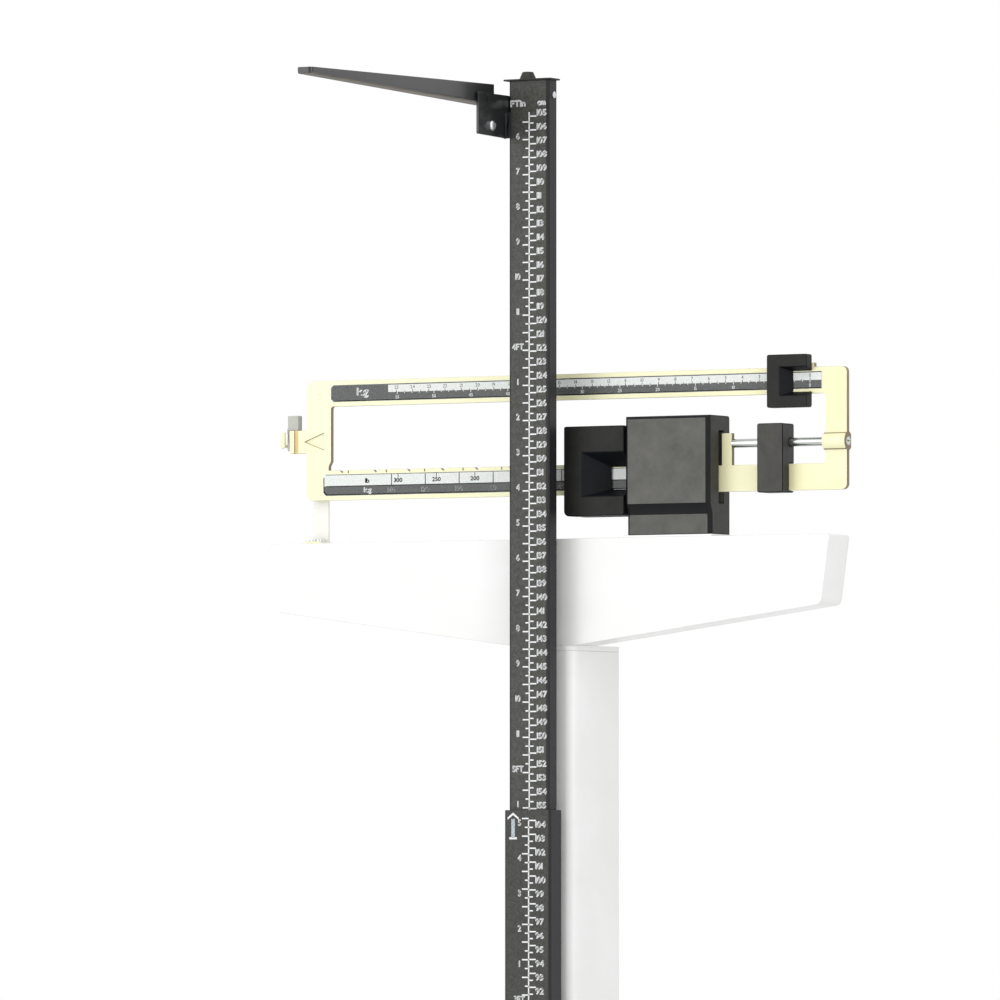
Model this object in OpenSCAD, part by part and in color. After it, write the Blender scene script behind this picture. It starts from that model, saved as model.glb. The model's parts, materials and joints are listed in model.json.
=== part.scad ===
// Mechanical physician scale: platform base, column, sliding beam balance and height rod.
// Millimetres. X runs to the right along the beam, Y runs away from the person on the
// platform, Z is up. The origin is on the floor under the middle of the whole object.
// Pieces above the base are placed in the rod frame: its zero is the middle of the height
// rod's section, at the level of the platform's surface.

/* [Base] */
// Width of the base along X
base_w = 300; // [290:1:340]
// Length of the base along Y
base_l = 540; // [530:1:600]
// Height of the floor of the base tray
tray_floor_z = 18; // [16:1:24]
// Height of the rim of the base tray
tray_top_z = 60; // [59:0.5:61]
// Sheet thickness of the base tray
tray_wall = 2.5; // [2:0.5:4]
// Thickness of the rear deck that carries the column
deck_t = 3; // [2:0.5:6]
// Width of the platform
platform_w = 280; // [276:1:285]
// Length of the platform
platform_l = 380; // [370:1:390]
// Height of the platform's surface above the floor
platform_top = 85; // [83:1:92]
// Sheet thickness of the platform
platform_t = 2; // [1.5:0.5:3]
// Thickness of the rubber mat with its ribs
mat_t = 3; // [2.5:0.5:5]
// Distance between the ribs of the mat
rib_pitch = 9.5; // [8:0.5:20]
// Radius of the transport wheels
wheel_r = 25; // [20:1:25]
// Width of the transport wheels
wheel_w = 20; // [12:1:24]
// Radius of the wheel axle
axle_r = 4; // [3:0.5:5]
// Radius of the rubber feet
foot_r = 18; // [12:1:20]

/* [Column] */
// Width of the column tube
column_w = 50; // [46:1:54]
// Depth of the column tube
column_d = 72; // [60:1:76]
// Corner radius of the column tube
column_r = 8; // [4:0.5:12]
// Wall of the column tube
column_wall = 2; // [1.5:0.5:3]
// Height of the column's top above the platform
column_top = 1163; // [1150:1:1164]
// Thickness of the plate under the column
foot_plate_t = 5; // [4:0.5:8]

/* [Height rod] */
// Width of the inner rod
rod_w = 33.4; // [28:0.2:35]
// Depth of the inner rod
rod_d = 11.2; // [9:0.2:16]
// Length of the inner rod
rod_len = 960; // [900:5:962]
// Height of the inner rod's top above the platform, as it stands now
rod_top = 1575; // [1560:1:1590]
// Wall of the inner rod
rod_wall = 1.5; // [1:0.25:2]
// Wall of the sleeve
sleeve_wall = 1.5; // [1:0.25:2]
// Gap between the inner rod and the sleeve on each side
sleeve_gap = 1; // [0.5:0.1:1.5]
// Height of the sleeve's upper edge above the platform
sleeve_top = 1048; // [1030:1:1060]
// Height of the sleeve's lower edge above the platform
sleeve_bottom = 80; // [60:1:90]
// Length of the head arm from its pin to its tip
arm_len = 241.5; // [220:0.5:260]
// Width of the head arm at the pin
arm_root_w = 15; // [13:0.5:24]
// Width of the head arm at its tip
arm_tip_w = 12.5; // [10:0.5:20]
// Height of the head arm's side at the pin
arm_root_h = 15.2; // [12:0.2:17]
// Height of the head arm's side at its tip
arm_tip_h = 4.8; // [4:0.2:9]
// Rise of the head arm's underside from its tail to its tip
arm_rise = 5; // [0:0.5:7]
// Sheet thickness of the head arm
arm_t = 1.5; // [1:0.25:2]
// Radius of the head arm's pin
arm_pin_r = 1.8; // [1.5:0.1:2]

/* [Crosshead] */
// Half width of the crosshead at its top
head_half_top = 234; // [232:1:240]
// Half width of the crosshead at the lower end of its sides
head_half_end = 227; // [222:1:230]
// Depth of the crosshead with its back cover
head_d = 31.5; // [30:0.5:34]
// Height of the crosshead's top above the platform
head_top = 1244; // [1242:0.5:1245]
// Height of the lower end of the crosshead's sides
head_end_z = 1194; // [1190:1:1200]
// Height of the crosshead's underside over the column
head_bottom = 1167; // [1166:0.5:1168]
// Sheet thickness of the crosshead and its cover
head_wall = 2; // [1.5:0.5:2.5]
// Distance from the rod's middle to the front faces of crosshead and column
front_y = 15.5; // [14.5:0.5:18]

/* [Beam] */
// Distance from the rod's middle to the middle of the beam's thickness
beam_y = 34; // [33.5:0.5:34.5]
// Thickness of the beam casting
beam_t = 4; // [3.5:0.5:5]
// Left outer edge of the beam ring
beam_left = -211; // [-215:0.5:-208]
// Right outer edge of the beam ring
beam_right = 239.5; // [237:0.5:242]
// Width of the ring's left and right bars
beam_side_w = 20; // [17:0.5:21]
// Height of the beam's lower edge above the platform
beam_bottom = 1276; // [1274:0.5:1277]
// Height of the beam's upper edge above the platform
beam_top = 1364; // [1360:0.5:1366]
// Height of the upper and the lower bar
bar_h = 19; // [18:0.5:20]
// Height of the upper scale plate
scale_h = 12.3; // [11:0.1:14]
// Height of the lower scale plate
low_scale_h = 15.5; // [13:0.1:15.5]
// Thickness of the scale plates
scale_t = 0.6; // [0.4:0.1:1]
// Distance from the fulcrum to the load pivot
load_arm = 18; // [16:0.5:20]
// Place of the fulcrum along the beam
fulcrum_x = 92; // [91:0.5:95]
// Height of the fulcrum's edge above the platform
fulcrum_z = 1282; // [1281:0.5:1283]
// Radius of the beam's pivot pins
pivot_r = 4; // [3:0.5:4.5]
// Diameter of the zero screw
zero_screw_d = 6.4; // [5:0.1:7]
// Height of the zero screw above the platform
zero_screw_z = 1310.6; // [1309:0.1:1312]
// Width of the counterweight along the beam
counter_w = 21; // [16:0.5:26]
// Height of the counterweight
counter_h = 49.5; // [46:0.5:52]
// Depth of the counterweight
counter_d = 17; // [14:0.5:17]
// Width of the large poise
large_w = 49.9; // [46:0.1:54]
// Height of the large poise
large_h = 65; // [62:1:66]
// Width of the small poise
small_w = 32.5; // [28:0.5:36]
// Height of the small poise
small_h = 38; // [35:0.5:40]
// Distance between the notches of the lower bar
notch_pitch = 28.7; // [24:0.1:29]
// Free travel of the beam's tongue up and down
tongue_play = 5; // [4:0.5:6]

/* [Fulcrum housing] */
// Left face of the fulcrum housing
housing_left = 66.6; // [66.3:0.1:68]
// Width of the fulcrum housing
housing_w = 69.7; // [67:0.1:71]
// Depth of the fulcrum housing
housing_d = 31; // [31:0.5:34]
// Height of the housing's top above the platform
housing_top = 1331; // [1328:1:1336]
// Height of the housing block's lower edge
housing_block_z = 1268; // [1266:0.5:1269]

/* [Fits] */
// Radial clearance of a pin that turns in its bore
fit = 0.05; // [0.02:0.01:0.1]
// Gap between parts that pass each other
gap = 0.3; // [0.2:0.05:0.5]

/* [Hidden] */
$fn = 48;

// Places along the object, worked out from the dimensions above
pointer_reach = 21.5;
pointer_left = beam_left - pointer_reach;
boss_reach = 0.3;
boss_right = beam_right + boss_reach;
mid_x = -(min(pointer_left, -head_half_top) + max(boss_right, head_half_top)) / 2;
column_setback = 20;
column_mid_y = base_l / 2 - column_setback - column_d / 2;
rod_y = column_mid_y - column_d / 2 - front_y;
// The platform lies before the column's foot, with a seventh of the spare length in front of it
foot_plate_w = 110;
foot_plate_l = 96;
front_share = 1 / 7;
spare_l = column_mid_y - foot_plate_l / 2 + base_l / 2 - platform_l;
platform_front = spare_l * front_share - base_l / 2;
platform_y = [platform_front, platform_front + platform_l];
deck_top = tray_top_z + deck_t;

// Corner rounding for outlines: an arc of radius r replaces corner b between a and c
function unit(v) = v / norm(v);
function arc_corner(a, b, c, r) =
    let (
        u = unit(a - b),
        v = unit(c - b),
        half = acos(u * v) / 2,
        first = b + u * r / tan(half),
        last = b + v * r / tan(half),
        middle = b + unit(u + v) * r / sin(half),
        start = atan2(first.y - middle.y, first.x - middle.x),
        turn = atan2(last.y - middle.y, last.x - middle.x) - start,
        sweep = turn > 180 ? turn - 360 : (turn < -180 ? turn + 360 : turn)
    )
    [for (i = [0 : 5]) middle + r * [cos(start + sweep * i / 5), sin(start + sweep * i / 5)]];
function rounded(points, radii) =
    let (n = len(points))
    [for (i = [0 : n - 1])
        each (radii[i] > 0
            ? arc_corner(points[(i + n - 1) % n], points[i], points[(i + 1) % n], radii[i])
            : [points[i]])];

// A box given by its span along each axis
module block(x, y, z) {
    translate([x[0], y[0], z[0]]) cube([x[1] - x[0], y[1] - y[0], z[1] - z[0]]);
}

// A round bar along X or along Y, from one end to the other
module bar_x(x, y, z, r) {
    translate([x[0], y, z]) rotate([0, 90, 0]) cylinder(h = x[1] - x[0], r = r);
}
module bar_y(x, y, z, r) {
    translate([x, y[0], z]) rotate([-90, 0, 0]) cylinder(h = y[1] - y[0], r = r);
}
module bar_z(x, y, z, r) {
    translate([x, y, z[0]]) cylinder(h = z[1] - z[0], r = r);
}

// An outline drawn in X and Z, given thickness along Y
module sheet_xz(y) {
    translate([0, y[1], 0]) rotate([90, 0, 0]) linear_extrude(y[1] - y[0]) children();
}

// An outline drawn in Y and Z, given length along X
module sheet_yz(x) {
    translate([x[0], 0, 0]) rotate([90, 0, 90]) linear_extrude(x[1] - x[0]) children();
}

// A rectangle with round corners, centred
module round_rect(w, d, r) {
    square([w - 2 * r, d], center = true);
    square([w, d - 2 * r], center = true);
    for (x = [-1, 1], y = [-1, 1]) translate([x * (w / 2 - r), y * (d / 2 - r)]) circle(r);
}

// A flat bar between two points of the XY plane
module strip(from, to, w) {
    length = norm(to - from);
    translate(from) rotate(atan2(to.y - from.y, to.x - from.x))
        translate([0, -w / 2]) square([length, w]);
}

// Frame of the base: the middle of the column, on the floor
module in_base() {
    translate([mid_x, 0, 0]) children();
}

// Frame of everything above: the middle of the height rod, at the platform's surface
module in_rod_frame() {
    translate([mid_x, rod_y, platform_top]) children();
}

// Base

foot_front_in = 28;
foot_rear_in = 84;
foot_side_in = 26;
foot_y = [-base_l / 2 + foot_front_in, base_l / 2 - foot_rear_in];
foot_x = base_w / 2 - foot_side_in;
foot_screw_r = 4;
wheel_inner_x = 96;
wheel_gap = 4;
axle_y = base_l / 2 - wheel_r - 2;
axle_z = wheel_r + 2;
recess_y = axle_y - wheel_r - wheel_gap;
clip_t = 3;
tray_r = 18;
lip_w = 16;
lip_t = 2;
draft_hole_r = 8;
draft_y = beam_y;

module tray_outline(inset) {
    translate([0, (recess_y - base_l / 2) / 2])
        round_rect(base_w - 2 * inset, recess_y + base_l / 2 - 2 * inset, tray_r - inset);
    rear_half = wheel_inner_x - wheel_gap - inset;
    translate([-rear_half, 0]) square([2 * rear_half, base_l / 2 - inset]);
}

module base_tray() {
    color("gainsboro") in_base() difference() {
        translate([0, 0, tray_floor_z]) linear_extrude(tray_top_z - tray_floor_z) tray_outline(0);
        translate([0, 0, tray_floor_z + tray_wall])
            linear_extrude(tray_top_z - lip_t - tray_floor_z - tray_wall) tray_outline(tray_wall);
        translate([0, 0, tray_top_z - lip_t - 1]) linear_extrude(lip_t + 2) tray_outline(lip_w);
        bar_x([-base_w, base_w], axle_y, axle_z, axle_r);
        for (x = [-foot_x, foot_x], y = foot_y)
            bar_z(x, y, [tray_floor_z - 1, tray_floor_z + tray_wall + 1], foot_screw_r);
    }
}

foot_chamfer = 3;
module rubber_feet() {
    color("dimgray") in_base() for (x = [-foot_x, foot_x], y = foot_y) translate([x, y, 0])
        rotate_extrude() polygon([
            [0, 0], [foot_r - foot_chamfer, 0], [foot_r, foot_chamfer], [foot_r, tray_floor_z],
            [foot_screw_r, tray_floor_z], [foot_screw_r, foot_chamfer * 2], [0, foot_chamfer * 2]
        ]);
}

screw_head_h = 3;
module foot_screws() {
    color("silver") in_base() for (x = [-foot_x, foot_x], y = foot_y) {
        bar_z(x, y, [foot_chamfer * 2, tray_floor_z + tray_wall + screw_head_h], foot_screw_r);
        bar_z(x, y, [tray_floor_z + tray_wall, tray_floor_z + tray_wall + screw_head_h],
            foot_screw_r * 1.8);
    }
}

axle_half = wheel_inner_x + wheel_w + gap + clip_t + 2;
module wheel_axle() {
    color("silver") in_base() bar_x([-axle_half, axle_half], axle_y, axle_z, axle_r);
}

module axle_clips() {
    color("gray") in_base() for (side = [0, 1]) mirror([side, 0, 0]) difference() {
        x0 = wheel_inner_x + wheel_w + gap;
        bar_x([x0, x0 + clip_t], axle_y, axle_z, axle_r * 1.9);
        bar_x([x0 - 1, x0 + clip_t + 1], axle_y, axle_z, axle_r);
    }
}

// Profile of a wheel in half section: tread with round shoulders, recessed web and hub
shoulder_r = 3;
web_inset = 4;
module wheel() {
    translate([wheel_inner_x, axle_y, axle_z]) rotate([0, 90, 0]) rotate_extrude() difference() {
        translate([axle_r + fit, 0]) polygon(rounded([
            [0, 0], [wheel_r - axle_r - fit, 0],
            [wheel_r - axle_r - fit, wheel_w], [0, wheel_w]
        ], [0, shoulder_r, shoulder_r, 0]));
        for (z = [-1, wheel_w - web_inset]) translate([axle_r * 2, z])
            square([wheel_r * 0.78 - axle_r * 2, web_inset + 1]);
    }
}
module wheel_right() {
    color("dimgray") in_base() wheel();
}
module wheel_left() {
    color("dimgray") in_base() mirror([1, 0, 0]) wheel();
}

deck_gap = 4;
deck_front = platform_y[1] + deck_gap;
bolt_x = 42;
bolt_y = 34;
bolt_r = 4;
module rear_deck() {
    color("gainsboro") in_base() difference() {
        translate([0, 0, tray_top_z]) linear_extrude(deck_t) intersection() {
            round_rect(base_w, base_l, tray_r);
            translate([-base_w / 2, deck_front]) square([base_w, base_l]);
        }
        for (x = [-bolt_x, bolt_x], y = [-bolt_y, bolt_y])
            bar_z(x, column_mid_y + y, [tray_top_z - 1, deck_top + 1], bolt_r);
        bar_z(0, rod_y + draft_y, [tray_top_z - 1, deck_top + 1], draft_hole_r);
    }
}

// Levers under the platform. The long lever turns at its front end, the short one at its
// rear end; both carry the platform near their pivots and meet at the link point.
long_x = 100;
long_pivot_y = -205;
short_x = 90;
short_pivot_y = 75;
pivot_step = 35;
link_y = (long_pivot_y + short_pivot_y) / 2;
lever_w = 12;
lever_boss_r = lever_w / 2 + 1;
long_bend_y = -150;
short_bend_y = 20;
long_z = [28, 40];
short_z = [44, 55];
lever_pin_r = 3.5;
lever_pin_half = 10;
stand_slot = 7;
stand_half_y = 8;
nose_w = 9;
nose_before = 18.5;
nose_behind = 8;
nose_start_y = rod_y + draft_y - nose_before;
nose_end_y = rod_y + draft_y + nose_behind;
cross_half = long_x * (nose_start_y - link_y) / (nose_start_y - long_bend_y);

module long_lever() {
    color("slategray") in_base() difference() {
        translate([0, 0, long_z[0]]) linear_extrude(long_z[1] - long_z[0]) {
            for (side = [-1, 1]) {
                strip([side * long_x, long_pivot_y - lever_w / 2], [side * long_x, long_bend_y],
                    lever_w);
                translate([side * long_x, long_bend_y]) circle(lever_boss_r);
                strip([side * long_x, long_bend_y], [0, nose_start_y], lever_w);
            }
            strip([-cross_half, link_y], [cross_half, link_y], lever_w);
            translate([-nose_w / 2, nose_start_y - lever_w])
                square([nose_w, nose_end_y - nose_start_y + lever_w]);
        }
        for (y = [long_pivot_y, long_pivot_y + pivot_step])
            bar_x([-base_w, base_w], y, (long_z[0] + long_z[1]) / 2, lever_pin_r);
    }
}

module short_lever() {
    color("slategray") in_base() difference() {
        union() {
            translate([0, 0, short_z[0]]) linear_extrude(short_z[1] - short_z[0]) for (side = [-1, 1]) {
                strip([side * short_x, short_pivot_y + lever_w / 2], [side * short_x, short_bend_y],
                    lever_w);
                translate([side * short_x, short_bend_y]) circle(lever_boss_r);
                strip([side * short_x, short_bend_y], [0, link_y], lever_w);
            }
            bar_z(0, link_y, short_z, lever_boss_r);
            bar_z(0, link_y, [long_z[1], short_z[0] + 1], lever_w / 3);
        }
        for (y = [short_pivot_y, short_pivot_y - pivot_step])
            bar_x([-base_w, base_w], y, (short_z[0] + short_z[1]) / 2, lever_pin_r);
    }
}

// Place and height of each lever's fulcrum and load pins
fulcrum_pins = [[long_x, long_pivot_y, (long_z[0] + long_z[1]) / 2],
    [short_x, short_pivot_y, (short_z[0] + short_z[1]) / 2]];
load_pins = [[long_x, long_pivot_y + pivot_step, (long_z[0] + long_z[1]) / 2],
    [short_x, short_pivot_y - pivot_step, (short_z[0] + short_z[1]) / 2]];

module lever_pins() {
    color("silver") in_base() for (p = concat(fulcrum_pins, load_pins), side = [-1, 1])
        bar_x([side * p.x - lever_pin_half, side * p.x + lever_pin_half], p.y, p.z, lever_pin_r);
}

// A forked support from one height to another round the end of a lever and its pin
module fork(p, z, slot_z) {
    difference() {
        block([p.x - lever_pin_half, p.x + lever_pin_half],
            [p.y - stand_half_y, p.y + stand_half_y], z);
        block([p.x - stand_slot, p.x + stand_slot],
            [p.y - stand_half_y - 1, p.y + stand_half_y + 1], slot_z);
        bar_x([p.x - 2 * lever_pin_half, p.x + 2 * lever_pin_half], p.y, p.z, lever_pin_r + fit);
    }
}

module lever_stands() {
    color("slategray") in_base() for (side = [0, 1]) mirror([side, 0, 0]) for (p = fulcrum_pins)
        fork(p, [tray_floor_z + tray_wall, p.z + 0.5], [p.z - 7, p.z + 20]);
}

module platform_posts() {
    color("slategray") in_base() for (side = [0, 1]) mirror([side, 0, 0]) for (p = load_pins)
        fork(p, [p.z - 0.5, platform_top - mat_t - platform_t], [p.z - 20, p.z + 7]);
}

platform_r = 14;
skirt_z = tray_top_z + 1.5;
platform_mid_y = (platform_y[0] + platform_y[1]) / 2;
module platform_pan() {
    color("gainsboro") in_base() translate([0, platform_mid_y, 0]) difference() {
        translate([0, 0, skirt_z]) linear_extrude(platform_top - mat_t - skirt_z)
            round_rect(platform_w, platform_l, platform_r);
        translate([0, 0, skirt_z - 1]) linear_extrude(platform_top - mat_t - platform_t - skirt_z + 1)
            round_rect(platform_w - 2 * platform_t, platform_l - 2 * platform_t, platform_r - platform_t);
    }
}

mat_margin = 5;
rib_w = 5.5;
module platform_mat() {
    mat_w = platform_w - 2 * mat_margin;
    mat_l = platform_l - 2 * mat_margin;
    ribs = floor((mat_l - 2 * platform_r) / rib_pitch);
    color("dimgray") in_base() translate([0, platform_mid_y, platform_top - mat_t]) {
        linear_extrude(mat_t / 2) round_rect(mat_w, mat_l, platform_r - mat_margin);
        for (i = [0 : ribs]) translate([-mat_w / 2 + 4, (i - ribs / 2) * rib_pitch - rib_w / 2, 0])
            cube([mat_w - 8, rib_w, mat_t]);
    }
}

// Column

module column_foot() {
    color("gainsboro") in_base() translate([0, column_mid_y, deck_top]) difference() {
        linear_extrude(foot_plate_t) round_rect(foot_plate_w, foot_plate_l, 8);
        for (x = [-bolt_x, bolt_x], y = [-bolt_y, bolt_y]) bar_z(x, y, [-1, foot_plate_t + 1], bolt_r);
        bar_z(0, rod_y + draft_y - column_mid_y, [-1, foot_plate_t + 1], draft_hole_r);
    }
}

nut_h = 6;
module column_bolts() {
    color("silver") in_base() for (x = [-bolt_x, bolt_x], y = [-bolt_y, bolt_y])
        translate([x, column_mid_y + y, 0]) {
            bar_z(0, 0, [tray_top_z - lip_t - nut_h, deck_top + foot_plate_t + nut_h], bolt_r);
            translate([0, 0, deck_top + foot_plate_t]) cylinder(h = nut_h - 1, r = bolt_r * 1.7, $fn = 6);
            translate([0, 0, tray_top_z - nut_h]) cylinder(h = nut_h, r = bolt_r * 1.7, $fn = 6);
        }
}

// Heights of the two sleeve brackets above the platform, and their studs
bracket_z = [140, 870];
bracket_h = 24;
stud_r = 2.5;
column_base_z = deck_top + foot_plate_t;
module column() {
    color("whitesmoke") difference() {
        translate([mid_x, column_mid_y, column_base_z])
            linear_extrude(platform_top + column_top - column_base_z) difference() {
                round_rect(column_w, column_d, column_r);
                round_rect(column_w - 2 * column_wall, column_d - 2 * column_wall, column_r - column_wall);
            }
        in_rod_frame() for (z = bracket_z)
            bar_y(0, [front_y - 1, front_y + column_wall + 1], z + bracket_h / 2, stud_r);
    }
}

cap_plug = 10;
cap_wall = 3;
module column_cap() {
    color("whitesmoke") in_rod_frame() difference() {
        translate([0, front_y + column_d / 2, 0]) {
            translate([0, 0, column_top]) linear_extrude(head_bottom - column_top)
                round_rect(column_w, column_d, column_r);
            translate([0, 0, column_top - cap_plug]) linear_extrude(cap_plug) difference() {
                inner_w = column_w - 2 * column_wall - 2 * gap;
                inner_d = column_d - 2 * column_wall - 2 * gap;
                round_rect(inner_w, inner_d, column_r - column_wall);
                round_rect(inner_w - 2 * cap_wall, inner_d - 2 * cap_wall, column_r - column_wall - 2);
            }
        }
        bar_z(0, draft_y, [column_top - 1, head_bottom + 1], draft_hole_r);
        for (x = carrier_bolt_x) bar_z(x, carrier_bolt_y, [column_top - 1, head_bottom + 1], carrier_bolt_r);
    }
}

// Crosshead: a pan open at the back, with a cover

head_corner_r = 5;
head_flat = column_w / 2 + 2;
head_back_y = front_y + head_d;
// Outline of the crosshead, drawn in by a margin on every side
function head_outline(m) = rounded([
    [-head_half_top + m, head_top - m], [head_half_top - m, head_top - m],
    [head_half_end - m, head_end_z + m], [head_flat, head_bottom + m],
    [-head_flat, head_bottom + m], [-head_half_end + m, head_end_z + m]
], [2, 2, head_corner_r, 0, 0, head_corner_r]);

carrier_bolt_x = [-13, 13];
carrier_bolt_y = 24;
carrier_bolt_r = 3;
carrier_t = 3;
carrier_y = [front_y + head_wall + gap, head_back_y - head_wall - gap];
load_x = fulcrum_x + load_arm;
stirrup_w = 14;
stirrup_slot = [load_x - stirrup_w / 2 - 3, load_x + stirrup_w / 2 + 3];
housing_screw_r = 2;
housing_y = [front_y, front_y + housing_d];
housing_right = housing_left + housing_w;
housing_screw_x = [housing_left + 4.5, housing_right - 4.5];
housing_screw_y = [housing_y[0] + 6.5, housing_y[1] - 6.5];
index_x = [beam_left + 2, beam_left + 15];
index_foot_y = [27, 43];
index_foot_t = 2;
index_screw_x = [index_x[0] + 3.8, index_x[1] - 3.8];
index_screw_y = 32;
index_screw_r = 1.5;

module head_top_holes() {
    block(stirrup_slot, [beam_y - 11, beam_y + 11], [head_top - 10, head_top + 10]);
    for (x = housing_screw_x, y = housing_screw_y)
        bar_z(x, y, [head_top - 10, head_top + 10], housing_screw_r);
    for (x = index_screw_x) bar_z(x, index_screw_y, [head_top - 10, head_top + 10], index_screw_r);
}

module crosshead() {
    color("whitesmoke") in_rod_frame() difference() {
        sheet_xz([front_y, head_back_y - head_wall]) polygon(head_outline(0));
        sheet_xz([front_y + head_wall, head_back_y]) polygon(head_outline(head_wall));
        head_top_holes();
        bar_z(0, draft_y, [head_bottom - 1, head_bottom + head_wall + 1], draft_hole_r);
        for (x = carrier_bolt_x)
            bar_z(x, carrier_bolt_y, [head_bottom - 1, head_bottom + head_wall + 1], carrier_bolt_r);
    }
}

back_screw_r = 2;
back_head_h = 1.5;
// How far the cover screws lie inside the crosshead's upper corners, its ends and its edges
screw_in_top = 21;
screw_in_end = 14;
screw_in_z = 12;
back_screws_at = [for (side = [-1, 1]) each [
    [side * (head_half_top - screw_in_top), head_top - screw_in_z],
    [side * (head_half_end - screw_in_end), head_end_z + screw_in_z]
]];
module crosshead_back() {
    color("whitesmoke") in_rod_frame() difference() {
        sheet_xz([head_back_y - head_wall, head_back_y]) polygon(head_outline(0));
        for (p = back_screws_at)
            bar_y(p.x, [head_back_y - 2 * head_wall, head_back_y + 1], p.y, back_screw_r);
    }
}
// Each cover screw holds a block that stands on the inside of the crosshead's front wall
module back_screws() {
    color("silver") in_rod_frame() for (p = back_screws_at) {
        bar_y(p.x, [front_y + head_wall, head_back_y], p.y, back_screw_r);
        bar_y(p.x, [front_y + head_wall, head_back_y - head_wall], p.y, back_screw_r * 2);
        bar_y(p.x, [head_back_y, head_back_y + back_head_h], p.y, back_screw_r * 1.9);
    }
}

// Steel frame inside the crosshead: top plate, two slotted legs and a foot
transfer_z = 1205;
transfer_pivot_x = -60;
transfer_w = 6;
transfer_h = 14;
leg_x = 22;
leg_window = [beam_y - 8, beam_y + 8];
module carrier_frame() {
    color("slategray") in_rod_frame() difference() {
        union() {
            block([index_x[0], housing_right + 6], carrier_y,
                [head_top - head_wall - carrier_t, head_top - head_wall]);
            for (x = [-leg_x, leg_x - carrier_t]) block([x, x + carrier_t], carrier_y,
                [head_bottom + head_wall, head_top - head_wall]);
            block([-leg_x, leg_x], carrier_y, [head_bottom + head_wall, head_bottom + head_wall + carrier_t]);
        }
        block([-leg_x - 1, leg_x + 1], leg_window, [transfer_z - 14, transfer_z + 14]);
        head_top_holes();
        bar_z(0, draft_y, [head_bottom, head_bottom + 10], draft_hole_r);
        for (x = carrier_bolt_x) bar_z(x, carrier_bolt_y, [head_bottom, head_bottom + 10], carrier_bolt_r);
    }
}

module carrier_bolts() {
    color("silver") in_rod_frame() for (x = carrier_bolt_x) {
        bar_z(x, carrier_bolt_y, [column_top - 6, head_bottom + head_wall + carrier_t], carrier_bolt_r);
        translate([x, carrier_bolt_y, head_bottom + head_wall + carrier_t])
            cylinder(h = 4, r = carrier_bolt_r * 1.6, $fn = 6);
    }
}

hanger_pin_r = 3;
hanger_t = 3;
hanger_half = 9;
hanger_drop = 8;
hanger_bridge = 4;
transfer_y = [beam_y - transfer_w / 2, beam_y + transfer_w / 2];
module lever_hanger() {
    color("slategray") in_rod_frame() difference() {
        block([transfer_pivot_x - hanger_half, transfer_pivot_x + hanger_half],
            [transfer_y[0] - gap - hanger_t, transfer_y[1] + gap + hanger_t],
            [transfer_z - hanger_drop, head_top - head_wall - carrier_t]);
        block([transfer_pivot_x - hanger_half - 1, transfer_pivot_x + hanger_half + 1],
            [transfer_y[0] - gap, transfer_y[1] + gap],
            [transfer_z - hanger_drop - 1, head_top - head_wall - carrier_t - hanger_bridge]);
        bar_y(transfer_pivot_x, [0, head_back_y], transfer_z, hanger_pin_r);
    }
}
module hanger_pin() {
    color("silver") in_rod_frame() bar_y(transfer_pivot_x,
        [transfer_y[0] - gap - hanger_t, transfer_y[1] + gap + hanger_t], transfer_z, hanger_pin_r);
}

draft_pin_r = 2.5;
stirrup_pin_r = 2.5;
module transfer_lever() {
    color("slategray") in_rod_frame() difference() {
        block([transfer_pivot_x - hanger_half, load_x + 7], transfer_y,
            [transfer_z - transfer_h / 2, transfer_z + transfer_h / 2]);
        bar_y(transfer_pivot_x, [0, head_back_y], transfer_z, hanger_pin_r + fit);
        bar_y(0, [0, head_back_y], transfer_z, draft_pin_r + 2 * fit);
        bar_y(load_x, [0, head_back_y], transfer_z, stirrup_pin_r + 2 * fit);
    }
}

// Draft rod: a clevis round the transfer lever, a long rod, and a loop round the long lever's nose
draft_rod_r = 3;
clevis_t = 3;
clevis_half = 5.5;
clevis_y = [transfer_y[0] - gap - clevis_t, transfer_y[1] + gap + clevis_t];
clevis_bottom = transfer_z - transfer_h / 2 - 12;
loop_wall = 4;
// Inside of the loop, with the play under and over the long lever's nose
loop_under = 1.5;
loop_over = 6;
loop_in_z = [long_z[0] - loop_under - platform_top, long_z[1] + loop_over - platform_top];
loop_z = [loop_in_z[0] - loop_wall, loop_in_z[1] + 2 * loop_wall];
loop_x = nose_w / 2 + 1;
module draft_rod() {
    color("silver") in_rod_frame() difference() {
        union() {
            block([-clevis_half, clevis_half], clevis_y, [clevis_bottom, transfer_z + 6]);
            bar_z(0, draft_y, [loop_z[1] - 1, clevis_bottom + 1], draft_rod_r);
            block([-loop_x - 3, loop_x + 3], [draft_y - 5, draft_y + 5], loop_z);
        }
        block([-clevis_half - 1, clevis_half + 1], [transfer_y[0] - gap, transfer_y[1] + gap],
            [transfer_z - transfer_h / 2 - 3, transfer_z + 7]);
        bar_y(0, [0, head_back_y], transfer_z, draft_pin_r);
        block([-loop_x, loop_x], [draft_y - 6, draft_y + 6], loop_in_z);
    }
}
module draft_pin() {
    color("silver") in_rod_frame() bar_y(0, clevis_y, transfer_z, draft_pin_r);
}

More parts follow.
